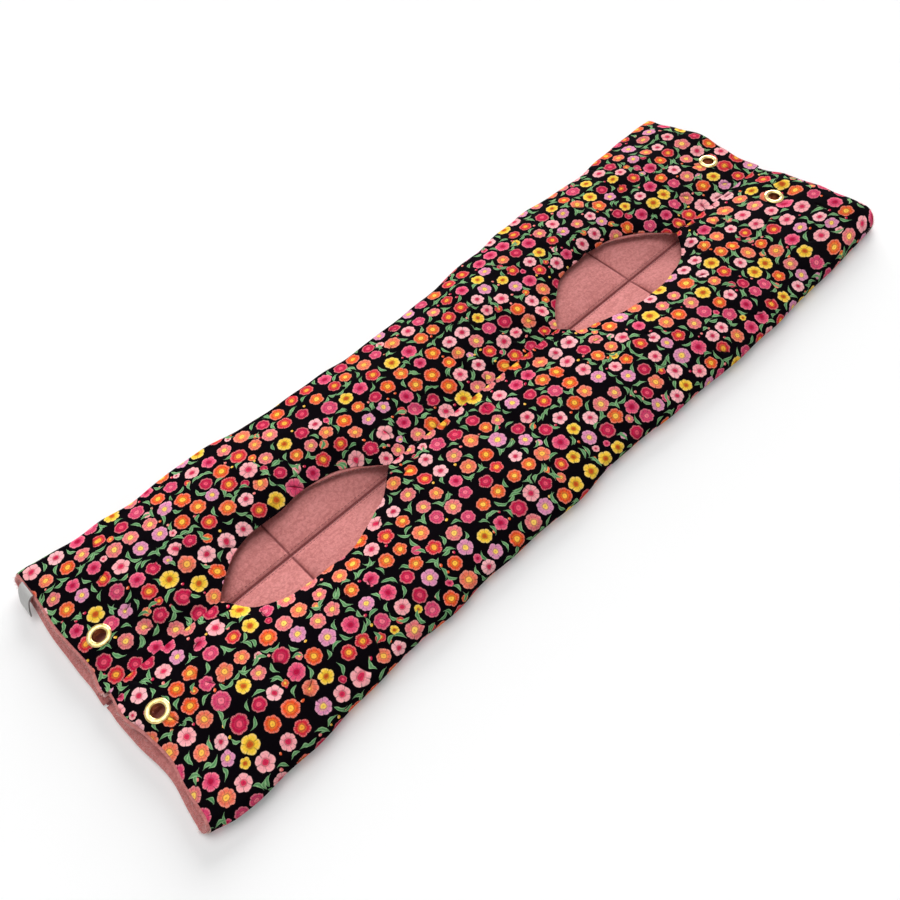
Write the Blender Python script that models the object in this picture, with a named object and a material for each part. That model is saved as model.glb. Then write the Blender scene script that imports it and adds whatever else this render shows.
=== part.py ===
"""Small pet hanging tunnel: a printed cotton sleeve lined with fleece, lying flat.

X runs along the tunnel, +Y to its left, +Z up, and the origin is on the floor under the middle.
The sleeve is four quilted panels, hinged along the bottom crease and along the two side folds, and
meeting again at the top seam, so that it opens from flat to a nearly square passage.
"""
import math
from bisect import bisect_right

import bmesh
import bpy
from mathutils import Matrix, Vector

# Sleeve, lying flat
cover_length = 0.720
flat_width = 0.252
edge_height = 0.015
crown_height = 0.008
mouth_crown = 0.0030
mouth_run = 0.075
draw_in_left = 0.014
draw_in_right = 0.003

# Cloth
cover_thickness = 0.0010
lining_thickness = 0.0030
cloth_gap = 0.0003
hinge_gap = 0.0002
fleece_reveal = 0.0020
lip_reach = 0.0060
opening_angle = math.radians(85)

# The two lens-shaped entries on the top seam, not quite evenly cut
slit_length = 0.158
near_slit_from_middle = 0.109
near_slit_reach_left = 0.027
near_slit_reach_right = 0.038
far_slit_from_middle = 0.088
far_slit_reach_left = 0.040
far_slit_reach_right = 0.033

# Folds that fan out from the ends of the entries
fold_depth = 0.0022
fold_spread = 0.045
folds_per_turn = 6

# Quilting of the bottom lining
puff_height = 0.0012
stitch_depth = 0.0010
stitch_groove = 0.0040
near_stitch_from_middle = 0.202
far_stitch_from_middle = 0.184

# Brass eyelets
eyelet_hole_radius = 0.0050
eyelet_wall = 0.0006
flange_radius = 0.0090
flange_height = 0.0012
flange_fillet = 0.0008
washer_thickness = 0.0006
roll_radius = 0.0006
eyelet_from_end = 0.0177
eyelet_from_seam = 0.0375
eyelet_seat_margin = 0.0020

# Ribbon label in the near left hem
label_width = 0.026
label_thickness = 0.0009
label_root = 0.0022
label_reach = 0.0095
label_bend_radius = 0.0040
label_from_fold = 0.0020

# Counts, and where the grid lines lie between the named sizes
eyelet_segments = 24
fillet_segments = 3
fold_segments = 8
label_segments = 5
slit_shares = (-0.88, -0.68, -0.44, -0.2, 0.2, 0.44, 0.68, 0.88)
outer_panel_shares = (0.26, 0.5, 0.72, 0.88, 1)
quilt_shares = (0, 0.06, 0.2, 0.5, 0.8, 0.94, 1)
bay_shares = (0.1, 0.9)
inner_strip_share = 0.22
label_bend = math.radians(48)

# Sizes that follow from the ones above
half_length = cover_length / 2
half_height = edge_height / 2
fold_line = flat_width / 2 - half_height
eyelet_x = half_length - eyelet_from_end
eyelet_seat = flange_radius + eyelet_seat_margin
barrel_radius = eyelet_hole_radius + eyelet_wall
lining_depth = cover_thickness + cloth_gap
layer_depth = lining_depth + lining_thickness
top_lining_end = half_length + fleece_reveal
bottom_lining_end = half_length + lip_reach
bottom_cover_end = bottom_lining_end - fleece_reveal

# By side of the seam and by end of the sleeve
draw_in = {1: draw_in_left, -1: draw_in_right}
slit_reach = {(-1, 1): near_slit_reach_left, (-1, -1): near_slit_reach_right,
              (1, 1): far_slit_reach_left, (1, -1): far_slit_reach_right}
side_name = {1: "left", -1: "right"}
end_name = {1: "far", -1: "near"}
slit_start = {1: far_slit_from_middle, -1: near_slit_from_middle}
mean_slit = {end: start + slit_length / 2 for end, start in slit_start.items()}
slit_end = {end: start + slit_length for end, start in slit_start.items()}
cross_stitch = {1: far_stitch_from_middle, -1: near_stitch_from_middle}
entry_tips = (-slit_end[-1], -slit_start[-1], slit_start[1], slit_end[1])
bends = tuple(sorted((-bottom_lining_end, *entry_tips, -mean_slit[-1], 0.0, mean_slit[1], bottom_lining_end)))


def clear_scene():
    for old in list(bpy.data.objects):
        bpy.data.objects.remove(old, do_unlink=True)


def material(name, colour, roughness, metallic=0.0):
    made = bpy.data.materials.new(name)
    made.use_nodes = True
    shader = made.node_tree.nodes["Principled BSDF"]
    shader.inputs["Base Color"].default_value = (*colour, 1.0)
    shader.inputs["Roughness"].default_value = roughness
    shader.inputs["Metallic"].default_value = metallic
    made.diffuse_color = (*colour, 1.0)
    return made


def smooth_step(value):
    value = min(max(value, 0.0), 1.0)
    return value * value * (3 - 2 * value)


def pivot(name, place, parent=None):
    """An empty on a joint's axis; what moves with the joint is its child."""
    empty = bpy.data.objects.new(name, None)
    empty.empty_display_size = edge_height
    bpy.context.collection.objects.link(empty)
    origin = parent["place"] if parent else Vector()
    empty.parent = parent["empty"] if parent else None
    empty.location = Vector(place) - origin
    return {"empty": empty, "place": Vector(place)}


def add_node(name, mesh_data, finish, body, smooth=False):
    mesh_data.normal_update()
    bmesh.ops.recalc_face_normals(mesh_data, faces=mesh_data.faces)
    mesh = bpy.data.meshes.new(name)
    mesh_data.to_mesh(mesh)
    mesh_data.free()
    mesh.transform(Matrix.Translation(-body["place"]))
    mesh.materials.append(finish)
    if smooth:
        mesh.shade_smooth()
        mesh.set_sharp_from_angle(angle=math.radians(38))
    node = bpy.data.objects.new(name, mesh)
    bpy.context.collection.objects.link(node)
    node.parent = body["empty"]
    return node


def panel_edge(x, side):
    """How far from the seam the panels end: drawn in at the middle, in straight runs between bends."""
    before = min(max(bisect_right(bends, x) - 1, 0), len(bends) - 2)
    start, end = bends[before:before + 2]
    edges = [fold_line - draw_in[side] * (1 - (bend / bottom_lining_end) ** 2) for bend in (start, end)]
    return edges[0] + (x - start) / (end - start) * (edges[1] - edges[0])


def within(stations, end):
    """The cross lines between the two ends of a cloth, with one at each end."""
    return [-end] + sorted({x for x in stations if abs(x) < end}) + [end]


def end_of(x):
    return 1 if x > 0 else -1


def slit_edge(x, side):
    """How far the entry reaches from the seam at x, and zero between and beyond the entries."""
    end = end_of(x)
    along = (abs(x) - mean_slit[end]) / (slit_length / 2)
    return slit_reach[end, side] * max(0.0, 1 - along * along)


def hinge_relief(depth):
    """Cloth this deep under a hinge line stands back so that the panels can fold on it."""
    return hinge_gap + depth * math.tan(opening_angle / 2)


def crown(x):
    return mouth_crown + (crown_height - mouth_crown) * smooth_step((half_length - abs(x)) / mouth_run)


def entry_folds(x, y):
    """Soft folds that fan out from the ends of the entries, where the pulled seam gathers the cloth."""
    total = 0.0
    for tip in entry_tips:
        away = math.hypot(x - tip, y) / fold_spread
        turn = math.atan2(y, x - tip)
        total += smooth_step(2 * away) * math.exp(-away * away) * math.cos(folds_per_turn * turn)
    return fold_depth * total


def top_height(x, y, side):
    """The outer face of the top cover: low at the seam and at the folds, crowned between."""
    near_eyelet = abs(abs(x) - eyelet_x) <= eyelet_seat + cloth_gap
    if near_eyelet and abs(y - eyelet_from_seam) <= eyelet_seat + cloth_gap:
        x = math.copysign(eyelet_x, x)
        y = eyelet_from_seam
    across = min(y / panel_edge(x, side), 1.0)
    rise = 1 - abs(2 * across - 1) ** 3
    return edge_height + rise * crown(x) + rise * entry_folds(x, y)


def panel_lines(x, side, inner, reveal):
    """Where the grid lines of a top panel cross x, from its inner edge to the fold.

    Cloth that shows past the printed edge has one more line, under that edge.
    """
    opening = slit_edge(x, side)
    edge = panel_edge(x, side)
    seat_start = eyelet_from_seam - eyelet_seat
    seat_end = eyelet_from_seam + eyelet_seat
    nominal = [seat_start * inner_strip_share, seat_start, seat_end]
    nominal += [seat_end + share * (edge - cloth_gap - seat_end) for share in outer_panel_shares]
    lines = [opening + value * (1 - opening / edge) for value in nominal[:-1]] + [nominal[-1]]
    if reveal:
        return [max(inner, opening - reveal), max(inner + cloth_gap, opening)] + lines
    return [max(inner, opening)] + lines


def top_stations(end):
    """The cross lines of the top panels, closest round the entries and the eyelets."""
    stations = list(bends)
    for way in (-1, 1):
        half = [slit_start[way] / 2]
        half += [mean_slit[way] + share * slit_length / 2 for share in slit_shares]
        half += [(slit_end[way] + eyelet_x - eyelet_seat) / 2, eyelet_x - eyelet_seat, eyelet_x + eyelet_seat]
        stations += [way * x for x in half]
    return within(stations, end)


def quilt_stations():
    """The cross lines of the bottom lining, with a groove under each cross stitch."""
    stations = list(bends)
    for way in (-1, 1):
        inner = cross_stitch[way] - stitch_groove / 2
        outer = cross_stitch[way] + stitch_groove / 2
        half = [share * inner for share in bay_shares] + [inner, cross_stitch[way], outer]
        half += [outer + share * (bottom_lining_end - outer) for share in bay_shares]
        stations += [way * x for x in half]
    return within(stations, bottom_lining_end)


def layered_panel(stations, upper_lines, lower_lines, upper_height, lower_height, side):
    """A closed sheet between two faces given on the same grid, as triangles split the same way."""
    sheet = bmesh.new()
    faces = []
    for lines, height in ((upper_lines, upper_height), (lower_lines, lower_height)):
        rows = [[sheet.verts.new((x, side * y, height(x, y))) for y in lines(x)] for x in stations]
        faces.append(rows)
        for row, following in zip(rows, rows[1:]):
            for a, b, c, d in zip(row, row[1:], following[1:], following):
                sheet.faces.new((a, b, c))
                sheet.faces.new((a, c, d))
    upper, lower = faces
    rims = [(upper[0], lower[0]), (upper[-1], lower[-1])]
    rims += [([row[end] for row in upper], [row[end] for row in lower]) for end in (0, -1)]
    for above, below in rims:
        for a, b, c, d in zip(above, above[1:], below[1:], below):
            sheet.faces.new((a, b, c))
            sheet.faces.new((a, c, d))
    return sheet


def build_top_panel(side, body, finishes):
    """The printed cover and the fleece under it on one side of the top seam."""
    layers = (("cover_top_", 0.0, cover_thickness, 0.0, half_length, "cover"),
              ("lining_top_", lining_depth, layer_depth, fleece_reveal, top_lining_end, "lining"))
    nodes = []
    for name, top, bottom, reveal, end, finish in layers:
        panel = layered_panel(
            top_stations(end),
            lambda x, depth=top, reveal=reveal: panel_lines(x, side, hinge_relief(depth), reveal),
            lambda x, depth=bottom, reveal=reveal: panel_lines(x, side, hinge_relief(depth), reveal),
            lambda x, y, depth=top: top_height(x, y, side) - depth,
            lambda x, y, depth=bottom: top_height(x, y, side) - depth,
            side)
        nodes.append(add_node(name + side_name[side], panel, finishes[finish], body, smooth=True))
    return nodes


def quilt_lines(x, side, depth):
    inner = hinge_relief(depth)
    return [inner + share * (panel_edge(x, side) - cloth_gap - inner) for share in quilt_shares]


def quilt_height(x, y, side):
    """The upper face of the bottom lining: puffed squares between the sewn lines."""
    inner = hinge_relief(layer_depth)
    across = (y - inner) / (panel_edge(x, side) - inner)
    stitch = cross_stitch[end_of(x)]
    if abs(x) < stitch:
        along = (x + cross_stitch[-1]) / (cross_stitch[1] + cross_stitch[-1])
    else:
        along = (abs(x) - stitch) / (bottom_lining_end - stitch)
    puff = puff_height * max(0.0, 1 - (2 * across - 1) ** 4) * (1 - (2 * along - 1) ** 4)
    from_stitch = abs(abs(x) - stitch) / (stitch_groove / 2)
    return layer_depth + puff - stitch_depth * max(0.0, 1 - from_stitch)


def build_bottom_panel(side, body, finishes):
    """The cover that lies on the floor and the quilted fleece on it."""
    cover = layered_panel(
        within(bends, bottom_cover_end),
        lambda x: [hinge_relief(cover_thickness), panel_edge(x, side) - cloth_gap],
        lambda x: [hinge_relief(0.0), panel_edge(x, side) - cloth_gap],
        lambda x, y: cover_thickness,
        lambda x, y: 0.0,
        side)
    add_node("cover_bottom_" + side_name[side], cover, finishes["cover"], body)
    lining = layered_panel(
        quilt_stations(),
        lambda x: quilt_lines(x, side, layer_depth),
        lambda x: quilt_lines(x, side, lining_depth),
        lambda x, y: quilt_height(x, y, side),
        lambda x, y: lining_depth,
        side)
    add_node("lining_bottom_" + side_name[side], lining, finishes["lining"], body, smooth=True)


def build_side_fold(side, body, finishes):
    """The cover and the fleece that turn from bottom to top along the side of the sleeve."""
    layers = (("side_fold_cover_", half_height, cover_thickness, half_length, "cover"),
              ("side_fold_lining_", half_height - lining_depth, lining_thickness, top_lining_end, "lining"))
    turns = [math.pi * (step / fold_segments - 0.5) for step in range(fold_segments + 1)]
    for name, radius, thickness, end, finish in layers:
        fold = bmesh.new()
        section = [(radius, turn) for turn in turns]
        section += [(radius - thickness, turn) for turn in reversed(turns)]
        rings = []
        for x in within(bends, end):
            middle = panel_edge(x, side)
            rings.append([fold.verts.new((x, side * (middle + reach * math.cos(turn)),
                                          half_height + reach * math.sin(turn)))
                          for reach, turn in section])
        for ring, following in zip(rings, rings[1:]):
            for index in range(len(ring)):
                after = (index + 1) % len(ring)
                fold.faces.new((ring[index], ring[after], following[after], following[index]))
        for ring in (rings[0], rings[-1]):
            for step in range(fold_segments):
                mirrored = len(ring) - 1 - step
                fold.faces.new((ring[step], ring[step + 1], ring[mirrored - 1], ring[mirrored]))
        add_node(name + side_name[side], fold, finishes[finish], body, smooth=True)


def round_turns():
    """Where the flats of an eyelet, a washer and their hole meet, so that all three lie alike."""
    return [2 * math.pi * (step + 0.5) / eyelet_segments for step in range(eyelet_segments)]


def revolve(profile, centre):
    """Turn a closed profile of radius and height about the vertical line through centre."""
    turned = bmesh.new()
    rings = []
    for turn in round_turns():
        rings.append([turned.verts.new((centre[0] + radius * math.cos(turn),
                                        centre[1] + radius * math.sin(turn),
                                        centre[2] + height))
                      for radius, height in profile])
    for step, ring in enumerate(rings):
        following = rings[(step + 1) % eyelet_segments]
        for index in range(len(ring)):
            after = (index + 1) % len(ring)
            turned.faces.new((ring[index], ring[after], following[after], following[index]))
    return turned


def arc(radius_at, height_at, size, start, end):
    """Profile points of a fillet about a centre, from one angle to another."""
    turns = [start + (end - start) * step / fillet_segments for step in range(fillet_segments + 1)]
    return [(radius_at + size * math.cos(turn), height_at + size * math.sin(turn)) for turn in turns]


def build_eyelet(end, side, body, finishes):
    """A brass eyelet with its barrel turned over a washer on the fleece side."""
    x = end * eyelet_x
    y = side * eyelet_from_seam
    seat = top_height(x, eyelet_from_seam, side)
    washer_top = -(layer_depth + 2 * cloth_gap)
    washer_bottom = washer_top - washer_thickness
    barrel_end = washer_bottom - cloth_gap - 2 * roll_radius
    roll_centre = barrel_radius + roll_radius
    quarter = math.pi / 2
    inward_and_down = 2.5 * quarter

    profile = arc(flange_radius - flange_fillet, flange_height - flange_fillet, flange_fillet, 0, quarter)
    profile += arc(eyelet_hole_radius + flange_fillet, flange_height - flange_fillet, flange_fillet,
                   quarter, 2 * quarter)
    profile += arc(roll_centre, barrel_end + roll_radius, roll_centre - eyelet_hole_radius,
                   2 * quarter, 3 * quarter)[:1]
    profile += arc(roll_centre, barrel_end + roll_radius, roll_radius, inward_and_down, 4 * quarter)
    profile += [(roll_centre, washer_bottom - cloth_gap), (barrel_radius, washer_bottom - cloth_gap)]
    profile += [(barrel_radius, 0.0), (flange_radius, 0.0)]
    name = end_name[end] + "_" + side_name[side]
    place = (x, y, seat + cloth_gap)
    add_node("eyelet_" + name, revolve(profile, place), finishes["brass"], body, smooth=True)

    inner = barrel_radius + cloth_gap
    washer = [(inner, washer_bottom), (flange_radius, washer_bottom), (flange_radius, washer_top),
              (inner, washer_top)]
    add_node("washer_" + name, revolve(washer, place), finishes["brass"], body, smooth=True)
    return eyelet_cutter(name, x, y, seat, body)


def eyelet_cutter(name, x, y, seat, body):
    """The round hole that the barrel needs through both cloths, as a hidden solid."""
    reach = layer_depth + flange_height
    radius = barrel_radius + cloth_gap
    solid = bmesh.new()
    rings = []
    for height in (seat - 2 * reach, seat + reach):
        rings.append([solid.verts.new((x + radius * math.cos(turn), y + radius * math.sin(turn), height))
                      for turn in round_turns()])
    lower, upper = rings
    for index in range(eyelet_segments):
        after = (index + 1) % eyelet_segments
        solid.faces.new((lower[index], lower[after], upper[after], upper[index]))
    solid.faces.new(lower)
    solid.faces.new(upper)
    cutter = add_node("hole_" + name, solid, None, body)
    cutter.hide_render = True
    cutter.display_type = "WIRE"
    return cutter


def cut_eyelet_holes(nodes, cutters):
    for node in nodes:
        for cutter in cutters:
            hole = node.modifiers.new("hole", "BOOLEAN")
            hole.operation = "DIFFERENCE"
            hole.solver = "EXACT"
            hole.object = cutter


def label_height():
    """The label's mid-plane where it is sewn in: on the fleece, at the higher of its two ends."""
    inner_end = fold_line - label_from_fold - label_width
    fleece = max(top_height(-half_length, y, 1) for y in (inner_end, inner_end + label_width))
    return fleece - lining_depth + cloth_gap + label_thickness / 2


def build_label(body, finish):
    """A folded ribbon, sewn in at the near mouth beside the left fold, drooping past the fleece."""
    root = body["place"]
    centre_line = [(0.0, 0.0), (label_root, 0.0)]
    for step in range(1, label_segments + 1):
        turn = label_bend * step / label_segments
        centre_line.append((label_root + label_bend_radius * math.sin(turn),
                            -label_bend_radius * (1 - math.cos(turn))))
    straight = label_reach - label_root - label_bend_radius * label_bend
    last = centre_line[-1]
    centre_line.append((last[0] + straight * math.cos(label_bend), last[1] - straight * math.sin(label_bend)))

    half = label_thickness / 2
    angles = [0.0, 0.0] + [label_bend * step / label_segments for step in range(1, label_segments + 1)]
    angles.append(label_bend)
    upper = [(out + half * math.sin(turn), up + half * math.cos(turn))
             for (out, up), turn in zip(centre_line, angles)]
    lower = [(out - half * math.sin(turn), up - half * math.cos(turn))
             for (out, up), turn in zip(centre_line, angles)]
    outline = upper + lower[::-1]

    ribbon = bmesh.new()
    start = fold_line - label_from_fold - label_width
    rims = []
    for y in (start, start + label_width):
        rims.append([ribbon.verts.new((root.x - out, y, root.z + up)) for out, up in outline])
    first, second = rims
    for index in range(len(outline)):
        after = (index + 1) % len(outline)
        ribbon.faces.new((first[index], first[after], second[after], second[index]))
    for rim in rims:
        for index in range(len(upper) - 1):
            mirrored = len(outline) - 1 - index
            ribbon.faces.new((rim[index], rim[index + 1], rim[mirrored - 1], rim[mirrored]))
    add_node("label_tag", ribbon, finish, body)


def build():
    clear_scene()
    finishes = {
        "cover": material("printed_cotton", (0.09, 0.03, 0.035), 0.85),
        "lining": material("pink_fleece", (0.60, 0.22, 0.22), 0.95),
        "brass": material("polished_brass", (0.80, 0.60, 0.30), 0.22, metallic=1.0),
    }
    label_finish = material("white_ribbon", (0.80, 0.79, 0.77), 0.6)

    bodies = {"bottom_right": pivot("sleeve", (0.0, 0.0, 0.0))}
    root = bodies["bottom_right"]
    bodies["bottom_left"] = pivot("bottom_crease", (0.0, 0.0, 0.0), root)
    bodies["top_right"] = pivot("right_side_fold", (0.0, -fold_line, half_height), root)
    bodies["top_left"] = pivot("left_side_fold", (0.0, fold_line, half_height), bodies["bottom_left"])
    label_place = (-half_length - cloth_gap - label_thickness / 2,
                   fold_line - label_from_fold - label_width / 2, label_height())
    bodies["label"] = pivot("label_hinge", label_place, bodies["top_left"])

    for side in (1, -1):
        bottom = bodies["bottom_" + side_name[side]]
        top = bodies["top_" + side_name[side]]
        build_bottom_panel(side, bottom, finishes)
        build_side_fold(side, bottom, finishes)
        panels = build_top_panel(side, top, finishes)
        cutters = [build_eyelet(end, side, top, finishes) for end in (-1, 1)]
        cut_eyelet_holes(panels, cutters)
    build_label(bodies["label"], label_finish)


build()
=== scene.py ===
import math

import bmesh
import bpy
import numpy as np
from mathutils import Matrix, Vector


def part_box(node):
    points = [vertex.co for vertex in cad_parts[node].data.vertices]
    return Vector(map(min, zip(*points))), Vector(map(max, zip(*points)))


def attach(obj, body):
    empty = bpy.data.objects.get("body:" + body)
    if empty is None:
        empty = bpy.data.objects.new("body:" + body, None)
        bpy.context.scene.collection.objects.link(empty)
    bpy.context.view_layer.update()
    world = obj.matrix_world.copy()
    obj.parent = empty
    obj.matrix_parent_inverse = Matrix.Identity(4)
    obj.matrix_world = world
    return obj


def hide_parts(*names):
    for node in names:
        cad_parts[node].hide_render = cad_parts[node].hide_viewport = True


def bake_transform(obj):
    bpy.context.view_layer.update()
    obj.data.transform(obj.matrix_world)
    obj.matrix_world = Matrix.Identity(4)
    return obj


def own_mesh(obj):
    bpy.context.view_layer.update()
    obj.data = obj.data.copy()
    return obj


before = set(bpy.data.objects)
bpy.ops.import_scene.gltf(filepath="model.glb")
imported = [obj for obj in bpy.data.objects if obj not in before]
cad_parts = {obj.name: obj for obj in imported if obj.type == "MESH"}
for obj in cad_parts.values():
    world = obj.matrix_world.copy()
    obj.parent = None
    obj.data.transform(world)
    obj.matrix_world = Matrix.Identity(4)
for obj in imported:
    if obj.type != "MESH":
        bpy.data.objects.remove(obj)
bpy.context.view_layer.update()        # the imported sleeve: bodies, nodes and joints

sides = {"Left": 1, "Right": -1}
ends = ("Near", "Far")

# Small helpers for shapes


def fade(value, start, stop):        # 0 at start, 1 at stop, smooth between; works on arrays
    share = np.clip((value - start) / (stop - start), 0, 1)
    return share * share * (3 - 2 * share)


def bell(value, middle, width):
    return np.exp(-((value - middle) / width) ** 2)


def throughPoints(x, points):        # a smooth curve through a few given points
    knots = np.array([point[0] for point in points])
    heights = np.array([point[1] for point in points])
    slopes = np.gradient(heights, knots)
    x = np.clip(x, knots[0], knots[-1])
    before = np.clip(np.searchsorted(knots, x, side="right") - 1, 0, len(knots) - 2)
    span = knots[before + 1] - knots[before]
    share = (x - knots[before]) / span
    curve = heights[before] * (1 + 2 * share) * (1 - share) ** 2
    curve += heights[before + 1] * share ** 2 * (3 - 2 * share)
    curve += slopes[before] * span * share * (1 - share) ** 2
    curve += slopes[before + 1] * span * share ** 2 * (share - 1)
    return curve


def softNoise(x, y, size, seed, turn=0.0, spread=math.pi, waves=22):        # sum of plane waves, about -1 to 1
    draw = np.random.default_rng(seed)
    total = np.zeros(np.broadcast(x, y).shape)
    for wave in range(waves):
        angle = turn + spread * (draw.random() - 0.5)
        length = size * (0.6 + 0.9 * draw.random())
        phase = 2 * math.pi * draw.random()
        total += np.cos(2 * math.pi * (x * math.cos(angle) + y * math.sin(angle)) / length + phase)
    return total / math.sqrt(waves)


# The sleeve's form, shared by the cover, the lining and all that is sewn to them

sleeve = {
    "halfLength": 0.360,
    "seamHeight": 0.015,        # the seam and the folds lie this high, as the hinges need
    "crown": 0.0074,
    "mouthCrown": 0.0032,
    "mouthRun": 0.075,
    "mouthDroop": 0.0016,
    "droopRun": 0.011,
    "mouthWave": 0.0010,
    "lipHeight": 0.0138,        # the lips of the entries sag towards the fleece below
    "lipRun": 0.0125,
    "lipWave": 0.0004,
    "lipThin": 0.0024,        # the fleece is pressed thin where it is sewn into the lips
    "lowestTop": 0.0104,
    "lowerReach": {"Left": 0.0014, "Right": 0.0018},        # the lower layer reaches further out at the near mouth
    "hingeGap": 0.00003,
    "reliefSlope": math.tan(math.radians(44.0)),
    "foldReach": 0.1185,        # the lower layer ends here at most, where the side hinges lie
    "foldLean": (-0.55, 0.05),        # and the turned cloth leans out to the upper layer's edge
    "eyeletX": 0.3423,
    "eyeletY": 0.0375,
    "seatHeight": 0.01848,
    "seatRadius": 0.0100,
    "seatBlend": 0.0085,
    "holeRadius": 0.0071,
    "printShift": {"Left": (0.0065, -0.0050), "Right": (0.0, 0.0)},        # the motifs do not meet at the seam
}

entries = {        # each lip's reach from the seam, and its share of that from the near tip to the far tip
    "Near": {"middle": -0.185, "half": 0.081, "reach": {"Left": 0.0305, "Right": 0.0355},
             "Left": ((-1, 0), (-0.85, 0.42), (-0.52, 0.92), (-0.10, 0.98), (0.42, 1.0), (0.72, 0.72), (1, 0)),
             "Right": ((-1, 0), (-0.84, 0.52), (-0.62, 0.82), (-0.15, 0.97), (0.12, 1.0), (0.45, 0.78),
                       (0.78, 0.42), (1, 0))},
    "Far": {"middle": 0.168, "half": 0.080, "reach": {"Left": 0.0430, "Right": 0.0305},
            "Left": ((-1, 0), (-0.87, 0.28), (-0.68, 0.58), (-0.42, 0.91), (-0.12, 1.0), (0.25, 0.98),
                     (0.60, 0.78), (0.85, 0.40), (1, 0)),
            "Right": ((-1, 0), (-0.88, 0.36), (-0.60, 0.65), (-0.15, 0.96), (0.30, 1.0), (0.64, 0.82),
                      (0.85, 0.50), (1, 0))},
}

outline = {        # how far the cloth reaches from the seam, along the sleeve
    "Left": ((-0.372, 0.1300), (-0.356, 0.1315), (-0.343, 0.1290), (-0.325, 0.1265), (-0.300, 0.1240),
             (-0.265, 0.1225), (-0.230, 0.1232), (-0.200, 0.1220), (-0.170, 0.1180), (-0.140, 0.1145),
             (-0.110, 0.1136), (-0.060, 0.1118), (-0.020, 0.1118), (0.020, 0.1126), (0.052, 0.1150),
             (0.080, 0.1186), (0.120, 0.1208), (0.150, 0.1236), (0.180, 0.1248), (0.210, 0.1222),
             (0.235, 0.1208), (0.268, 0.1230), (0.305, 0.1252), (0.345, 0.1265), (0.372, 0.1250)),
    "Right": ((-0.372, 0.1180), (-0.360, 0.1212), (-0.348, 0.1254), (-0.327, 0.1280), (-0.300, 0.1264),
              (-0.270, 0.1262), (-0.243, 0.1240), (-0.212, 0.1222), (-0.180, 0.1212), (-0.135, 0.1215),
              (-0.085, 0.1214), (-0.050, 0.1212), (-0.017, 0.1230), (0.012, 0.1212), (0.045, 0.1200),
              (0.080, 0.1224), (0.117, 0.1244), (0.160, 0.1256), (0.223, 0.1264), (0.250, 0.1256),
              (0.280, 0.1244), (0.323, 0.1236), (0.345, 0.1222), (0.372, 0.1170)),
}

creases = (        # short pinched lines: start, end, depth, half width
    ((0.006, 0.052), (-0.008, -0.030), 0.0015, 0.0023),
    ((0.040, 0.004), (0.062, -0.024), 0.0018, 0.0024),
    ((0.062, 0.006), (0.050, 0.034), 0.0016, 0.0026),
    ((0.022, 0.003), (0.006, 0.022), 0.0014, 0.0024),
    ((0.020, -0.003), (0.034, -0.020), 0.0013, 0.0022),
    ((-0.012, 0.002), (-0.030, 0.018), 0.0014, 0.0024),
    ((-0.022, -0.003), (-0.010, -0.022), 0.0013, 0.0022),
    ((-0.040, 0.003), (-0.058, 0.026), 0.0015, 0.0026),
    ((-0.052, -0.003), (-0.040, -0.026), 0.0014, 0.0024),
    ((-0.078, 0.003), (-0.086, 0.020), 0.0013, 0.0024),
    ((-0.074, -0.003), (-0.062, -0.018), 0.0012, 0.0022),
    ((-0.272, 0.002), (-0.330, 0.012), 0.0024, 0.0030),
    ((-0.270, -0.003), (-0.312, -0.024), 0.0018, 0.0028),
    ((-0.300, 0.004), (-0.316, 0.026), 0.0014, 0.0026),
    ((-0.330, -0.003), (-0.318, -0.020), 0.0013, 0.0024),
    ((-0.250, 0.026), (-0.262, 0.050), 0.0010, 0.0030),
    ((0.084, 0.003), (0.056, 0.030), 0.0014, 0.0030),
    ((0.080, -0.004), (0.044, -0.014), 0.0017, 0.0030),
    ((-0.104, 0.003), (-0.070, 0.022), 0.0014, 0.0030),
    ((-0.104, -0.003), (-0.072, -0.012), 0.0014, 0.0030),
    ((-0.330, -0.080), (-0.342, -0.112), 0.0010, 0.0030),
    ((-0.190, -0.098), (-0.170, -0.118), 0.0010, 0.0032),
    ((0.060, -0.098), (0.078, -0.114), 0.0011, 0.0030),
    ((0.250, 0.004), (0.296, 0.020), 0.0014, 0.0030),
    ((0.252, -0.002), (0.300, -0.014), 0.0014, 0.0030),
)

ripples = {        # soft relief of the cover: sizes and depths
    "puckerDepth": 0.0015,
    "puckerSize": 0.028,
    "puckerReach": 0.030,
    "fanDepth": 0.0018,
    "fanSpread": 0.046,
    "fanFolds": {-0.267: (5.0, 0.6), -0.109: (6.0, 2.1), 0.088: (7.0, 0.2), 0.246: (5.0, 1.4)},
    "rollDepth": 0.0010,
    "rollSize": 0.110,
    "rippleDepth": 0.0004,
    "rippleSize": 0.030,
    "sideDepth": 0.0011,
    "sideSize": 0.050,
    "edgeWave": 0.0009,
}

pulls = {        # the far end is stretched out past its gathered seam
    "run": 0.085,
    "lift": 0.0025,
    "reach": ((-0.126, 0.0120), (-0.118, 0.0205), (-0.107, 0.0288), (-0.095, 0.0262), (-0.080, 0.0230),
              (-0.060, 0.0204), (-0.040, 0.0182), (-0.020, 0.0150), (0.0, 0.0115), (0.030, 0.0088),
              (0.060, 0.0070), (0.095, 0.002), (0.126, -0.006)),        # y, then how far x moves there
    "inset": ((-0.126, 0.0005), (-0.101, 0.0020), (-0.073, 0.0058), (-0.060, 0.0054), (-0.028, 0.0006),
              (0.0, 0.0), (0.126, 0.0)),        # the same at the near mouth
}


def entryEdge(x, side):        # how far the lip of an entry stands off the seam at x, and zero elsewhere
    reach = 0.0 * x
    for entry in entries.values():
        along = (x - entry["middle"]) / entry["half"]
        share = np.where(np.abs(along) < 1, np.maximum(throughPoints(along, entry[side]), 0), 0)
        wave = sleeve["lipWave"] * softNoise(x, 0 * x, 0.026, 41 + sides[side]) * fade(share, 0, 0.5)
        reach = reach + entry["reach"][side] * share + wave
    return reach


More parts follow.
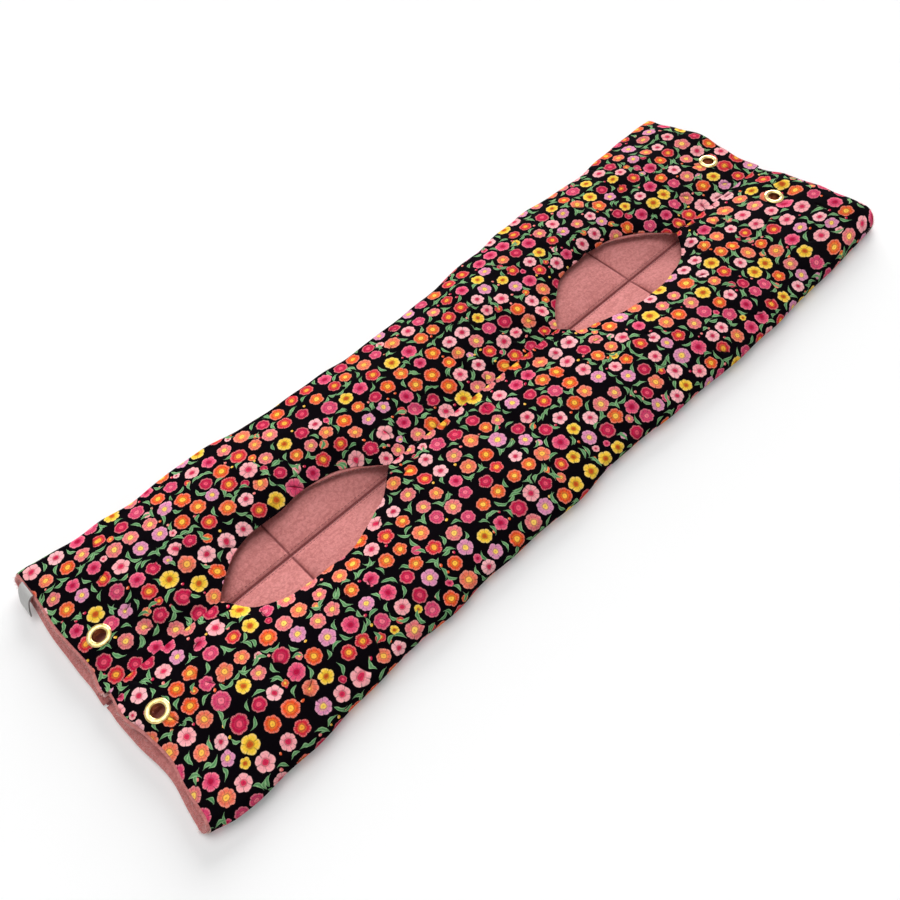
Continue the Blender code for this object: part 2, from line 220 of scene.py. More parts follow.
def panelEdge(x, side):        # from the seam to where the fold begins
    wave = ripples["edgeWave"] * softNoise(x, 0 * x, 0.055, 51 + sides[side])
    return throughPoints(x, outline[side]) - sleeve["seamHeight"] / 2 + wave


def lowerEdge(x, side):
    return np.minimum(panelEdge(x, side), sleeve["foldReach"])


def towardsEnd(x):        # 0 along the sleeve, 1 at its far mouth
    return fade(x, sleeve["halfLength"] - pulls["run"], sleeve["halfLength"])


def pullReach(x, y):
    return towardsEnd(x) * throughPoints(y, pulls["reach"]) + towardsEnd(-x) * throughPoints(y, pulls["inset"])


def wrinkles(x, y, side):        # the fine relief of the top, y measured from the seam
    sign = sides[side]
    r = ripples
    sewn = 1 - fade(entryEdge(x, side), 0, 0.012)
    relief = r["puckerDepth"] * np.exp(-y / r["puckerReach"]) * sewn * softNoise(x, 0.4 * sign * y, r["puckerSize"], 3)
    for end, (folds, start) in r["fanFolds"].items():
        away = np.hypot(x - end, y) / r["fanSpread"]
        turn = np.arctan2(sign * y, x - end)
        relief += r["fanDepth"] * fade(2 * away, 0, 1) * np.exp(-away ** 2) * np.cos(folds * turn + start)
    relief += r["rollDepth"] * softNoise(x, sign * y, r["rollSize"], 11)
    relief += r["rippleDepth"] * softNoise(x, sign * y, r["rippleSize"], 12)
    nearSide = fade(y, 0.055, 0.105)
    relief += r["sideDepth"] * nearSide * softNoise(x, sign * y, r["sideSize"], 13, turn=0, spread=1.1)
    for (x1, y1), (x2, y2), depth, width in creases:
        run = np.array((x2 - x1, y2 - y1))
        length = math.hypot(*run)
        run = run / length
        along = (x - x1) * run[0] + (sign * y - y1) * run[1]
        off = np.abs((x - x1) * run[1] - (sign * y - y1) * run[0])
        inside = fade(along, -0.25 * length, 0.2 * length) * (1 - fade(along, 0.8 * length, 1.25 * length))
        relief += depth * inside * (0.4 * bell(off, 2.2 * width, width) - bell(off, 0, width))
    return relief


def topHeight(x, y, side):        # outer face of the top
    across = np.clip(y / panelEdge(x, side), 0, 1)
    full = 1 - np.abs(2 * across - 1) ** 3
    rise = np.where(across < 0.5, 0.5 * full + 0.5 * fade(across, 0, 0.5), full)        # eased at the seam
    inward = sleeve["halfLength"] - np.abs(x)
    crown = sleeve["mouthCrown"] + (sleeve["crown"] - sleeve["mouthCrown"]) * fade(inward, 0, sleeve["mouthRun"])
    height = sleeve["seamHeight"] + rise * crown + full * wrinkles(x, y, side)
    height = height - sleeve["mouthDroop"] * fade(-inward, -sleeve["droopRun"], 0.002) * fade(full, 0, 0.5)
    opening = entryEdge(x, side)
    lip = np.exp(-np.maximum(y - opening, 0) / sleeve["lipRun"]) * fade(opening, 0, 0.014)
    height = height + lip * (sleeve["lipHeight"] - height)
    away = np.hypot(np.abs(x + pullReach(x, sides[side] * y)) - sleeve["eyeletX"], y - sleeve["eyeletY"])
    seated = 1 - fade(away, sleeve["seatRadius"], sleeve["seatRadius"] + sleeve["seatBlend"])
    return height + seated * (sleeve["seatHeight"] - height)


def pullOut(points):        # the stretched far end, for points of any piece
    x, y, z = points[..., 0], points[..., 1], points[..., 2]
    upper = np.clip(z / sleeve["seamHeight"], 0, 1.6)
    moved = points.copy()
    moved[..., 0] += pullReach(x, y)
    notSeat = fade(np.hypot(moved[..., 0] - sleeve["eyeletX"], np.abs(y) - sleeve["eyeletY"]), 0.009, 0.022)
    moved[..., 2] += notSeat * fade(np.abs(y), 0, 0.030) * upper ** 2 * pulls["lift"] * towardsEnd(x)
    return moved


quilting = {        # the bottom lining: puffed squares, sunk along the sewn lines
    "crossLines": (-0.205, 0.184),
    "lineFromCrease": 0.0031,
    "base": 0.0031,
    "puff": 0.0047,
    "groove": 0.0021,
    "grooveWidth": 0.0008,
    "shoulder": 0.0100,
    "creaseFloor": 0.0017,
    "creaseWidth": 0.0120,
    "underGroove": 0.0006,
    "underWidth": 0.0011,
    "lipStart": 0.350,
    "lipEnd": 0.366,
    "lipRise": 0.0026,
}


def awayFromLines(x):        # along the sleeve, from the nearer cross line
    return np.min([np.abs(x - line) for line in quilting["crossLines"]], axis=0)


def quiltedHeight(x, y, side):        # upper face of the bottom lining
    q = quilting
    across = np.clip(y / lowerEdge(x, side), 0, 1)
    along = awayFromLines(x)
    puff = q["puff"] * (1 - np.abs(2 * across - 1) ** 3) * (1 - np.exp(-along / q["shoulder"]))
    puff = puff * (1 + 0.08 * softNoise(x, sides[side] * y, 0.05, 31))
    lip = q["lipRise"] * fade(np.abs(x), q["lipStart"], 0.361) * (1 - 0.5 * fade(np.abs(x), 0.3635, 0.3662))
    lip = lip * (1 + 0.15 * softNoise(x, y, 0.02, 32))
    puff = puff * (1 - fade(np.abs(x), q["lipStart"], 0.361)) + lip
    mouth = 1 - 0.35 * fade(np.abs(x), 0.30, 0.36)
    sunk = q["groove"] * np.exp(-along / q["grooveWidth"])
    height = q["creaseFloor"] + (q["base"] + puff * mouth - q["creaseFloor"]) * (1 - np.exp(-y / q["creaseWidth"] * 2))
    height = height - sunk * fade(y, 0.002, 0.006)
    limit = (y - sleeve["hingeGap"]) / sleeve["reliefSlope"]        # room for the folding crease
    return height * limit / (height ** 4 + limit ** 4) ** 0.25


def underside(x, y):        # how far the sewing lifts the bottom off the floor
    q = quilting
    rows = bell(awayFromLines(x), 0, q["underWidth"]) * fade(y, 0.0014, 0.004)
    rows = rows + bell(y, q["lineFromCrease"], q["underWidth"])
    return q["underGroove"] * np.clip(rows, 0, 1)


def revealShare(x, side):        # the fleece shows past the printed edge only at the far half of the left lips
    share = -0.7
    if side == "Left":
        for entry in entries.values():
            share = share + 1.9 * bell(x, entry["middle"] + 0.050, 0.026)
    return share


rowCounts = {"top": 58, "fold": 22, "bottom": 46}
columnCount = 344


def rowShares(count, lean=0.0):        # from 0 to 1, closer together at the start
    share = np.linspace(0, 1, count)
    return share - lean * share * (1 - share)


def sleeveStations():        # shares along the sleeve, closer at the mouths and at the cross stitching
    station = np.linspace(-1, 1, columnCount)
    station = station + 0.06 * np.sin(math.pi * station) / math.pi
    extra = [(line + step) / quilting["lipEnd"] for line in quilting["crossLines"]
             for step in (-0.0026, -0.0013, -0.0005, 0, 0.0005, 0.0013, 0.0026)]
    clear = np.min(np.abs(station[:, None] - np.array(extra)[None, :]), axis=1) > 0.0012
    return np.sort(np.concatenate((station[clear], extra)))


def sleeveGrid(side, depth, ends, reveal=0.0, quilt=False, flatFromSeam=True):
    # one face of a cloth: columns along the sleeve, rows from the top seam round the fold to the bottom crease
    endTop, endBottom = ends
    sign = sides[side]
    rows = rowCounts["top"] + rowCounts["fold"] + rowCounts["bottom"]
    station = sleeveStations()
    row = np.arange(rows)
    lower = fade(row, rowCounts["top"], rowCounts["top"] + rowCounts["fold"])
    x = station[:, None] * (endTop + (endBottom - endTop) * lower)[None, :]
    ragged = sleeve["mouthWave"] * softNoise(0.002 * row, 0 * row, 0.045, 61 + sign)[None, :]
    x = x + np.sign(station)[:, None] * ragged * fade(np.abs(station), 0.94, 1)[:, None]
    x = x - sleeve["lowerReach"][side] * fade(-station, 0.90, 1)[:, None] * lower[None, :]
    radius = sleeve["seamHeight"] / 2
    y = np.zeros_like(x)
    z = np.zeros_like(x)
    around = np.zeros_like(x)        # distance along the cloth from the top seam

    part = slice(0, rowCounts["top"])
    edge = panelEdge(x[:, part], side)
    relief = sleeve["hingeGap"] + depth * sleeve["reliefSlope"]
    if depth > 0:        # more room for the folding seam where the cloth is pinched low
        low = sleeve["seamHeight"] - topHeight(x[:, part], np.full_like(edge, relief), side)
        relief = relief + np.maximum(low, 0) * sleeve["reliefSlope"]
    inner = np.maximum(relief, entryEdge(x[:, part], side) - reveal * revealShare(x[:, part], side))
    share = rowShares(rowCounts["top"], 0.45)[None, :]
    y[:, part] = inner + (edge - inner) * share
    z[:, part] = topHeight(x[:, part], y[:, part], side) - depth
    if quilt:
        opening = entryEdge(x[:, part], side)
        pressed = np.exp(-np.abs(y[:, part] - opening) / 0.006) * fade(opening, 0, 0.008)
        z[:, part] = np.maximum(z[:, part] + sleeve["lipThin"] * pressed, sleeve["lowestTop"])
    around[:, part] = y[:, part]

    part = slice(rowCounts["top"], rowCounts["top"] + rowCounts["fold"])
    turn = math.pi * (0.5 - np.linspace(0, 1, rowCounts["fold"] + 2)[1:-1])[None, :]
    edge = panelEdge(x[:, part], side)
    tucked = (edge - lowerEdge(x[:, part], side)) * (1 - fade(np.sin(turn), *sleeve["foldLean"]))
    y[:, part] = edge - tucked + (radius - depth) * np.cos(turn)
    z[:, part] = radius + (radius - depth) * np.sin(turn)
    around[:, part] = edge + radius * (math.pi / 2 - turn) + tucked

    part = slice(rowCounts["top"] + rowCounts["fold"], rows)
    edge = panelEdge(x[:, part], side)
    share = 1 - rowShares(rowCounts["bottom"], -0.55)[None, :]
    relief = sleeve["hingeGap"] + (quilting["creaseFloor"] if quilt else depth) * sleeve["reliefSlope"]
    y[:, part] = relief + (lowerEdge(x[:, part], side) - relief) * share
    if quilt:
        z[:, part] = quiltedHeight(x[:, part], y[:, part], side)
    else:
        z[:, part] = depth + underside(x[:, part], y[:, part])
    around[:, part] = edge + math.pi * radius + (edge - y[:, part])

    points = pullOut(np.stack((x, sign * y, z), axis=-1))
    if flatFromSeam:
        flat = np.stack((x, sign * around), axis=-1) + np.array(sleeve["printShift"][side])
    else:
        whole = 2 * panelEdge(x, side) + math.pi * radius
        flat = np.stack((x, sign * (whole - around)), axis=-1)        # from the bottom crease
    return points, flat


# Node helpers


class Value:        # an output socket that is reckoned with like a number, by Math nodes
    def __init__(self, socket):
        self.socket, self.tree = socket, socket.id_data

    def __abs__(self):
        return sums("ABSOLUTE", self)

    def __add__(self, other):
        return sums("ADD", self, other)

    def __sub__(self, other):
        return sums("SUBTRACT", self, other)

    def __rsub__(self, other):
        return sums("SUBTRACT", other, self)

    def __mul__(self, other):
        return sums("MULTIPLY", self, other)

    def __truediv__(self, other):
        return sums("DIVIDE", self, other)

    def __pow__(self, other):
        return sums("POWER", self, other)

    def __gt__(self, other):
        return sums("GREATER_THAN", self, other)

    def __lt__(self, other):
        return sums("LESS_THAN", self, other)


class Outputs:        # a node's outputs, by name or by place
    def __init__(self, sockets):
        self.sockets = sockets

    def __getitem__(self, key):
        return Value(self.sockets[key])


def feed(inputs, values):        # links outputs and sets plain values
    for key, value in values.items():
        if isinstance(value, Value):
            value.tree.links.new(value.socket, inputs[key])
        else:
            inputs[key].default_value = value


def addNode(tree, kind, inputs=None, **settings):
    node = tree.nodes.new(kind)
    for name, value in settings.items():
        setattr(node, name, value)
    feed(node.inputs, inputs or {})
    return Outputs(node.outputs)


def treeOf(*values):
    return next(value.tree for value in values if isinstance(value, Value))


def sums(operation, *values):        # one Math node
    return addNode(treeOf(*values), "ShaderNodeMath", dict(enumerate(values)), operation=operation)[0]


def least(first, second):
    return sums("MINIMUM", first, second)


def most(first, second):
    return sums("MAXIMUM", first, second)


def vectors(operation, *values):        # one Vector Math node
    outputs = addNode(treeOf(*values), "ShaderNodeVectorMath", dict(enumerate(values)), operation=operation)
    return outputs["Value" if operation == "LENGTH" else "Vector"]


def scaled(vector, factor):
    return addNode(vector.tree, "ShaderNodeVectorMath", {0: vector, "Scale": factor}, operation="SCALE")[0]


def joined(tree, x=0.0, y=0.0, z=0.0):
    return addNode(tree, "ShaderNodeCombineXYZ", {0: x, 1: y, 2: z})[0]


def parted(vector):
    return addNode(vector.tree, "ShaderNodeSeparateXYZ", {0: vector})


def turned(vector, angle):        # about the upright axis
    return addNode(vector.tree, "ShaderNodeVectorRotate", {"Vector": vector, "Angle": angle},
                   rotation_type="Z_AXIS")[0]


def ease(value, start, stop):        # a smooth step from 0 at start to 1 at stop
    return addNode(value.tree, "ShaderNodeMapRange", {0: value, 1: start, 2: stop, 3: 0.0, 4: 1.0},
                   interpolation_type="SMOOTHSTEP")[0]


def noise(vector, scale, detail, output=0, **more):
    return addNode(vector.tree, "ShaderNodeTexNoise",
                   {"Vector": vector, "Scale": scale, "Detail": detail, **more})[output]


def mixColour(share, first, second, blend="MIX"):
    return addNode(treeOf(share, first, second), "ShaderNodeMix", {0: share, 6: first, 7: second},
                   data_type="RGBA", blend_type=blend)[2]


def palette(value, colours):        # equal steps through a list of colours
    node = value.tree.nodes.new("ShaderNodeValToRGB")
    feed(node.inputs, {0: value})
    ramp = node.color_ramp
    ramp.interpolation = "CONSTANT"
    for index, colour in enumerate(colours):
        stop = ramp.elements[0] if index == 0 else ramp.elements.new(index / len(colours))
        stop.color = colour
    ramp.elements.remove(ramp.elements[-1])
    return Value(node.outputs[0])


def linear(red, green, blue):        # a colour as seen, from 0 to 255, in the shader's own scale
    return tuple((value / 255 / 12.92) if value < 10.3 else ((value / 255 + 0.055) / 1.055) ** 2.4
                 for value in (red, green, blue)) + (1.0,)


floatKind, vectorKind, colourKind = "NodeSocketFloat", "NodeSocketVector", "NodeSocketColor"


def newGroup(name, outputs):        # a shader group over the flat cloth
    tree = bpy.data.node_groups.new(name, "ShaderNodeTree")
    tree.interface.new_socket("Cloth", in_out="INPUT", socket_type=vectorKind)
    for title, kind in outputs.items():
        tree.interface.new_socket(title, in_out="OUTPUT", socket_type=kind)
    cloth = Value(tree.nodes.new("NodeGroupInput").outputs["Cloth"])
    return tree, cloth, tree.nodes.new("NodeGroupOutput").inputs


# The printed cotton: blossoms, berries and paired leaves, each scattered over the flat cloth

printColours = {
    "ground": linear(9, 6, 10),
    "petals": [linear(244, 178, 184), linear(186, 26, 68), linear(224, 80, 118), linear(226, 80, 42),
               linear(240, 200, 62), linear(222, 112, 118), linear(244, 166, 172), linear(230, 112, 88),
               linear(206, 40, 58), linear(226, 92, 50), linear(206, 62, 104), linear(214, 134, 174)],
    "hearts": [linear(200, 44, 78), linear(226, 84, 110), linear(182, 24, 66), linear(250, 196, 70),
               linear(196, 84, 34), linear(250, 208, 100), linear(212, 46, 84), linear(250, 196, 84),
               linear(248, 178, 64), linear(252, 206, 84), linear(236, 120, 140), linear(248, 212, 96)],
    "berries": [linear(232, 120, 120), linear(238, 186, 62), linear(198, 40, 78), linear(226, 92, 50)],
    "leaf": linear(112, 164, 110),
    "leafDeep": linear(86, 144, 92),
    "leafLight": linear(168, 206, 156),
    "leafVein": linear(52, 98, 60),
    "stem": linear(96, 92, 98),
}

motifs = {        # spacing, jitter and shift of what is scattered over the cloth
    "blossom": (0.0164, 0.33, 3.1),
    "bud": (0.0098, 0.75, 5.9),
    "berry": (0.0078, 0.80, 7.3),
    "lowerLeaf": (0.0112, 0.45, 23.4),
    "upperLeaf": (0.0112, 0.45, 11.7),
    "tuck": (0.026, 0.9, 5.3),
}

printSizes = {
    "blossomGap": 0.0004,
    "blossomRadius": 0.0077,
    "blossomSpread": 0.0022,        # the smallest are so much smaller
    "budGap": 0.0006,
    "budRadius": 0.0040,
    "budSmallest": 0.0027,
    "berryGap": 0.0004,
    "berryRadius": 0.0012,
    "leafLength": 0.0098,
    "leafWidth": 0.00145,
    "leafArch": 0.0020,
    "leafRoom": 0.0014,
}

tuckSizes = {        # pinched threads of cloth that swallow a little of the print
    "length": 0.0085,
    "swallow": 0.0017,
    "width": 0.00045,
    "reach": 0.0060,
    "bow": 0.0009,
    "dip": 0.0022,
}


def scatter(cloth, kind):
    # nearest motif to each point of the cloth: its centre, the way to it, the room round it and a random colour
    spacing, jitter, shift = motifs[kind]
    aside = (shift, shift * 0.7, 0.0)

    def cells(place, feature):
        return addNode(cloth.tree, "ShaderNodeTexVoronoi", {"Vector": place, "Scale": 1.0, "Randomness": jitter},
                       voronoi_dimensions="2D", feature=feature)

    nearest = cells(vectors("ADD", scaled(cloth, 1 / spacing), aside), "F1")
    centre = scaled(vectors("SUBTRACT", nearest["Position"], aside), spacing)
    return {"centre": centre,
            "offset": vectors("SUBTRACT", cloth, centre),
            "away": nearest["Distance"] * spacing,
            "room": cells(nearest["Position"], "F2")["Distance"] * spacing,
            "random": addNode(cloth.tree, "ShaderNodeSeparateColor", {0: nearest["Color"]})}


def blossomReach(blossom):        # each blossom grows until it nearly meets its neighbour
    spread = printSizes["blossomSpread"]
    largest = blossom["random"][2] * spread + (printSizes["blossomRadius"] - spread)
    return least(blossom["room"] * 0.5 - printSizes["blossomGap"], largest)


def besideBlossoms(centre):        # how far a motif's centre lies from the nearest blossom's edge, and the way there
    near = scatter(centre, "blossom")
    return near["away"] - blossomReach(near), near["offset"]


def budReach(bud):        # small blossoms fill what room the large ones leave
    gap = printSizes["budGap"]
    free, _ = besideBlossoms(bud["centre"])
    reach = least(least(bud["room"] * 0.5 - gap, free - gap), printSizes["budRadius"])
    return most(reach, 0.0001), reach > printSizes["budSmallest"]


def addLeaves(cloth, colour, kind):        # leaves curl round the nearest blossom where there is room
    leaf = scatter(cloth, kind)
    length = least(leaf["room"] * 0.98, printSizes["leafLength"])
    free, way = besideBlossoms(leaf["centre"])
    shown = free > printSizes["leafRoom"]
    wayX, wayY, _ = parted(way)
    angle = leaf["random"][0] * 0.7 + (-math.pi / 2 - 0.35) - sums("ARCTAN2", wayY, wayX)
    along, across, _ = parted(turned(leaf["offset"], angle))
    ahead = 1 - (leaf["random"][2] > 0.5) * 2        # half of them point the other way
    run = along * ahead / length + 0.5        # 0 at the stalk, 1 at the tip
    inside = (run > 0) * (run < 1)
    run = least(most(run, 0), 1)
    swell = sums("SINE", run ** 1.35 * math.pi)
    arch = sums("SINE", run * math.pi)
    bend = abs(arch * printSizes["leafArch"] + across)
    edge = bend / most(swell * printSizes["leafWidth"], 0.0001)
    tone = mixColour(leaf["random"][1], printColours["leaf"], printColours["leafDeep"])
    tone = mixColour(ease(edge, 0.45, 0.75) * 0.7, tone, printColours["leafLight"])
    tone = mixColour((1 - ease(edge, 0.05, 0.22)) * 0.55, tone, printColours["leafVein"])
    stalk = (1 - ease(bend, 0.00012, 0.00030)) * inside * shown * 0.7
    colour = mixColour(stalk, colour, printColours["stem"])
    return mixColour((1 - ease(edge, 0.80, 1.0)) * inside * shown, colour, tone)


def addBerries(cloth, colour):
    berry = scatter(cloth, "berry")
    radius = printSizes["berryRadius"]
    reach = least(berry["room"] * 0.5 - printSizes["berryGap"], radius)
    free, _ = besideBlossoms(berry["centre"])
    shown = (free > radius * 1.05) * (berry["random"][1] < 0.24)
    shine = vectors("LENGTH", vectors("SUBTRACT", berry["offset"], (-0.0005, 0.0006, 0.0)))
    tone = palette(berry["random"][0], printColours["berries"])
    tone = mixColour((1 - ease(shine, 0.0003, 0.0007)) * 0.7, tone, linear(252, 222, 190))
    return mixColour((1 - ease(berry["away"] / reach, 0.86, 1.0)) * shown, colour, tone)


def addBlossoms(cloth, colour, kind):
    blossom = scatter(cloth, kind)
    reach, shown = budReach(blossom) if kind == "bud" else (blossomReach(blossom), 1.0)
    x, y, _ = parted(blossom["offset"])
    angle = blossom["random"][2] * (2 * math.pi) + sums("ARCTAN2", y, x)
    many = blossom["random"][0] > 0.42
    turns = angle * (many * 3 + 5)        # five or eight petals
    wave = abs(sums("COSINE", turns * 0.5))
    share = blossom["away"] / reach
    shape = share / (1 - (many * -0.07 + 0.18) * (1 - wave ** 0.6))
    mask = (1 - ease(shape, 0.93, 1.0)) * shown
    petal, heart = (palette(blossom["random"][1], printColours[part]) for part in ("petals", "hearts"))
    tone = mixColour((1 - ease(share, 0.30, 0.62)) * 0.75, petal, mixColour(0.5, petal, heart))
    gap = (1 - ease(wave, 0.05, 0.30)) * ease(share, 0.34, 0.60)
    tone = mixColour(gap * 0.62, tone, mixColour(0.75, tone, (0.05, 0.01, 0.02, 1)))
    fleck = abs(sums("SINE", turns * 2.0)) * ease(shape, 0.70, 0.92)
    tone = mixColour(fleck * 0.28, tone, linear(255, 226, 214))
    ring = ease(share, 0.28, 0.33) * (1 - ease(share, 0.36, 0.44))
    tone = mixColour(ring * 0.45, tone, linear(120, 16, 44))
    tone = mixColour(1 - ease(share, 0.25, 0.33), tone, heart)
    dot = (1 - ease(share, 0.06, 0.13)) * 0.6
    tone = mixColour(dot, tone, mixColour(0.5, heart, linear(120, 30, 30)))
    return mixColour(mask, colour, tone), mask


def buildPrint():
    tree, cloth, result = newGroup("flowerPrint", {"Color": colourKind, "Ink": floatKind})
    waver = vectors("SUBTRACT", noise(cloth, 260.0, 1.0, "Color"), (0.5, 0.5, 0.5))
    drawn = vectors("ADD", cloth, scaled(waver, 0.0016))        # a hand-drawn waver in every outline
    colour = addBerries(drawn, printColours["ground"])
    colour, _ = addBlossoms(drawn, colour, "bud")
    colour = addLeaves(drawn, colour, "lowerLeaf")
    colour = addLeaves(drawn, colour, "upperLeaf")
    colour, mask = addBlossoms(drawn, colour, "blossom")
    washed = mixColour(1.0, colour, (1.28, 1.24, 1.2, 1), "MULTIPLY")
    colour = mixColour(ease(noise(cloth, 700.0, 3.0), 0.35, 0.75), colour, washed)
    feed(result, {"Color": colour, "Ink": mask})
    return tree


def buildTucks():        # where the thin cotton is pinched: the moved print, a line of painted shade in the pinch and its dip
    tree, cloth, result = newGroup("pinchedTucks", {"Cloth": vectorKind, "Line": floatKind, "Height": floatKind})
    size = tuckSizes
    tuck = scatter(cloth, "tuck")
    fromSeam = abs(parted(tuck["centre"])[1])
    shown = tuck["random"][2] < ease(fromSeam, 0.012, 0.050) * -0.68 + 0.95        # most of them near the seam
    angle = tuck["random"][0] * (2 * math.pi)
    along, across, _ = parted(turned(tuck["offset"], angle))
    run = abs(along) / (tuck["random"][1] * (size["length"] * 0.6) + size["length"] * 0.5)
    window = (1 - ease(run, 0.35, 1.0)) * shown
    bent = run * run * size["bow"] + across
    away = abs(bent)
    push = sums("SIGN", bent) * (1 - ease(away, 0.0, size["reach"])) * window * size["swallow"]
    back = turned(joined(tree, y=push), angle * -1.0)
    # Line is painted shade: the darkness inside the pinch, drawn as a thin line
    feed(result, {"Cloth": vectors("ADD", cloth, back),
                  "Line": (1 - ease(away, size["width"] * 0.3, size["width"] * 1.3)) * window,
                  "Height": (1 - ease(away, 0.0, size["dip"])) * window})
    return tree


def buildWeave():        # plain weave of fine yarns, from the flat cloth's own metres
    tree, cloth, result = newGroup("plainWeave", {"Height": floatKind, "Shade": floatKind})
    yarns = 1600.0
    x, y, _ = parted(scaled(cloth, yarns * 2 * math.pi))
    uneven = noise(cloth, 900.0, 2.0)
    feed(result, {"Height": uneven * 1.2 + sums("SINE", x) * sums("SINE", y) * 0.5, "Shade": uneven})
    return tree


def brushed(cloth, scale, turn):        # the cloth's place, drawn out along the pile
    return addNode(cloth.tree, "ShaderNodeMapping", {"Vector": cloth, "Scale": (*scale, 1.0),
                                                     "Rotation": (0, 0, turn)})[0]


def buildPile():        # brushed fleece: clumps, short fibres and a soft mottle
    tree, cloth, result = newGroup("fleecePile", {"Height": floatKind, "Mottle": floatKind})
    clump = noise(cloth, 420.0, 4.0, Roughness=0.62, Distortion=0.6)
    fibre = noise(brushed(cloth, (520.0, 1500.0), 0.5), 1.0, 2.0, Distortion=1.2)
    patch = noise(brushed(cloth, (60.0, 190.0), 0.9), 1.0, 3.0, Distortion=1.4)
    feed(result, {"Height": fibre * 0.35 + clump, "Mottle": clump * 0.65 + patch * 0.35})
    return tree


printGroup, tuckGroup, weaveGroup, pileGroup = buildPrint(), buildTucks(), buildWeave(), buildPile()


def newMaterial(name):
    made = bpy.data.materials.new(name)
    made.use_nodes = True
    return made, made.node_tree, made.node_tree.nodes["Principled BSDF"].inputs


def flatPlace(tree):
    return addNode(tree, "ShaderNodeUVMap", uv_map="cloth")[0]


def grouped(group, cloth):
    return addNode(cloth.tree, "ShaderNodeGroup", {"Cloth": cloth}, node_tree=group)


def bump(height, strength, distance, over=None, invert=False):
    inputs = {"Height": height, "Strength": strength, "Distance": distance}
    if over:
        inputs["Normal"] = over
    return addNode(height.tree, "ShaderNodeBump", inputs, invert=invert)[0]


def printedCotton():
    made, tree, shader = newMaterial("printedCotton")
    cloth = flatPlace(tree)
    tuck = grouped(tuckGroup, cloth)
    ink = grouped(printGroup, tuck["Cloth"])
    weave = grouped(weaveGroup, cloth)
    shaded = mixColour(1.0, ink["Color"], (0.88, 0.87, 0.88, 1), "MULTIPLY")
    tone = mixColour(ease(weave["Shade"], 0.3, 0.8), ink["Color"], shaded)
    woven = bump(weave["Height"], 0.3, 0.00018)
    # painted shade: the tucks' pinched lines darkened nearly to black
    feed(shader, {"Base Color": mixColour(tuck["Line"] * 0.85, tone, (0.006, 0.003, 0.004, 1)),
                  "Roughness": ink["Ink"] * -0.08 + 0.86,
                  "Specular IOR Level": 0.01,
                  "Normal": bump(tuck["Height"], 0.7, 0.0016, woven, invert=True)})
    return made


def sewnShade(cloth):        # painted shade where the pile lies flat and sunk along the quilting lines and the crease
    x, y, _ = parted(cloth)
    fromCrease = abs(y)
    crossing = least(*(abs(x - line) for line in quilting["crossLines"]))
    crossing = (1 - ease(crossing, 0.0003, 0.0014)) * (fromCrease < 0.14)
    return most(crossing, (1 - ease(fromCrease, 0.0016, 0.0030)) * 0.25)


def pinkFleece():
    made, tree, shader = newMaterial("pinkFleece")
    cloth = flatPlace(tree)
    pile = grouped(pileGroup, cloth)
    tone = mixColour(ease(pile["Mottle"], 0.36, 0.64), linear(197, 119, 116), linear(224, 147, 143))
    # painted shade: dark maroon along the sewn lines and the crease
    feed(shader, {"Base Color": mixColour(sewnShade(cloth) * 0.75, tone, linear(118, 52, 56)),
                  "Roughness": 0.95,
                  "Specular IOR Level": 0.1,
                  "Sheen Weight": 0.40,
                  "Sheen Roughness": 0.6,
                  "Sheen Tint": linear(236, 178, 178),
                  "Normal": bump(pile["Height"], 0.6, 0.0011)})
    return made


def plainFinish(name, colour, roughness, speckle, scale):
    made, tree, shader = newMaterial(name)
    grain = noise(addNode(tree, "ShaderNodeTexCoord")["Object"], scale, 3.0)
    dark, light = (tuple(min(part * factor, 1) for part in colour[:3]) + (1,) for factor in (1 - speckle, 1 + speckle))
    feed(shader, {"Base Color": mixColour(grain, dark, light),
                  "Roughness": roughness,
                  "Specular IOR Level": 0.15,
                  "Normal": bump(grain, 0.4, 0.0001)})
    return made


def polishedBrass():
    made, tree, shader = newMaterial("polishedBrass")
    place = addNode(tree, "ShaderNodeTexCoord")["Object"]
    tarnish = noise(place, 320.0, 4.0)
    feed(shader, {"Base Color": mixColour(ease(tarnish, 0.35, 0.75), linear(212, 190, 132), linear(168, 138, 80)),
                  "Metallic": 1.0,
                  "Roughness": tarnish * 0.14 + 0.10,
                  "Normal": bump(noise(place, 2600.0, 2.0), 0.12, 0.00006)})
    return made


cotton, fleece, brass = printedCotton(), pinkFleece(), polishedBrass()
# painted light: the fibres are far paler than the fleece, so the fuzzy rims look lit
fleecePile = plainFinish("fleeceFibrePaintedLight", linear(240, 200, 196), 0.95, 0.10, 300.0)
rawEdge = plainFinish("rawCottonEdge", linear(216, 186, 172), 0.9, 0.25, 1500.0)
cottonBack = plainFinish("cottonBack", linear(150, 84, 84), 0.95, 0.25, 1500.0)
satin = plainFinish("ribbonSatin", linear(190, 189, 187), 0.45, 0.06, 900.0)
darkThread = plainFinish("maroonThread", linear(98, 36, 42), 0.9, 0.2, 3000.0)
print("materials ready")

# The cloths


def addObject(name, data):
    made = bpy.data.objects.new(name, data)
    bpy.context.scene.collection.objects.link(made)
    return made


def newPiece(name, mesh, finishes):
    for finish in finishes:
        mesh.materials.append(finish)
    piece = addObject(name, mesh)
    return piece


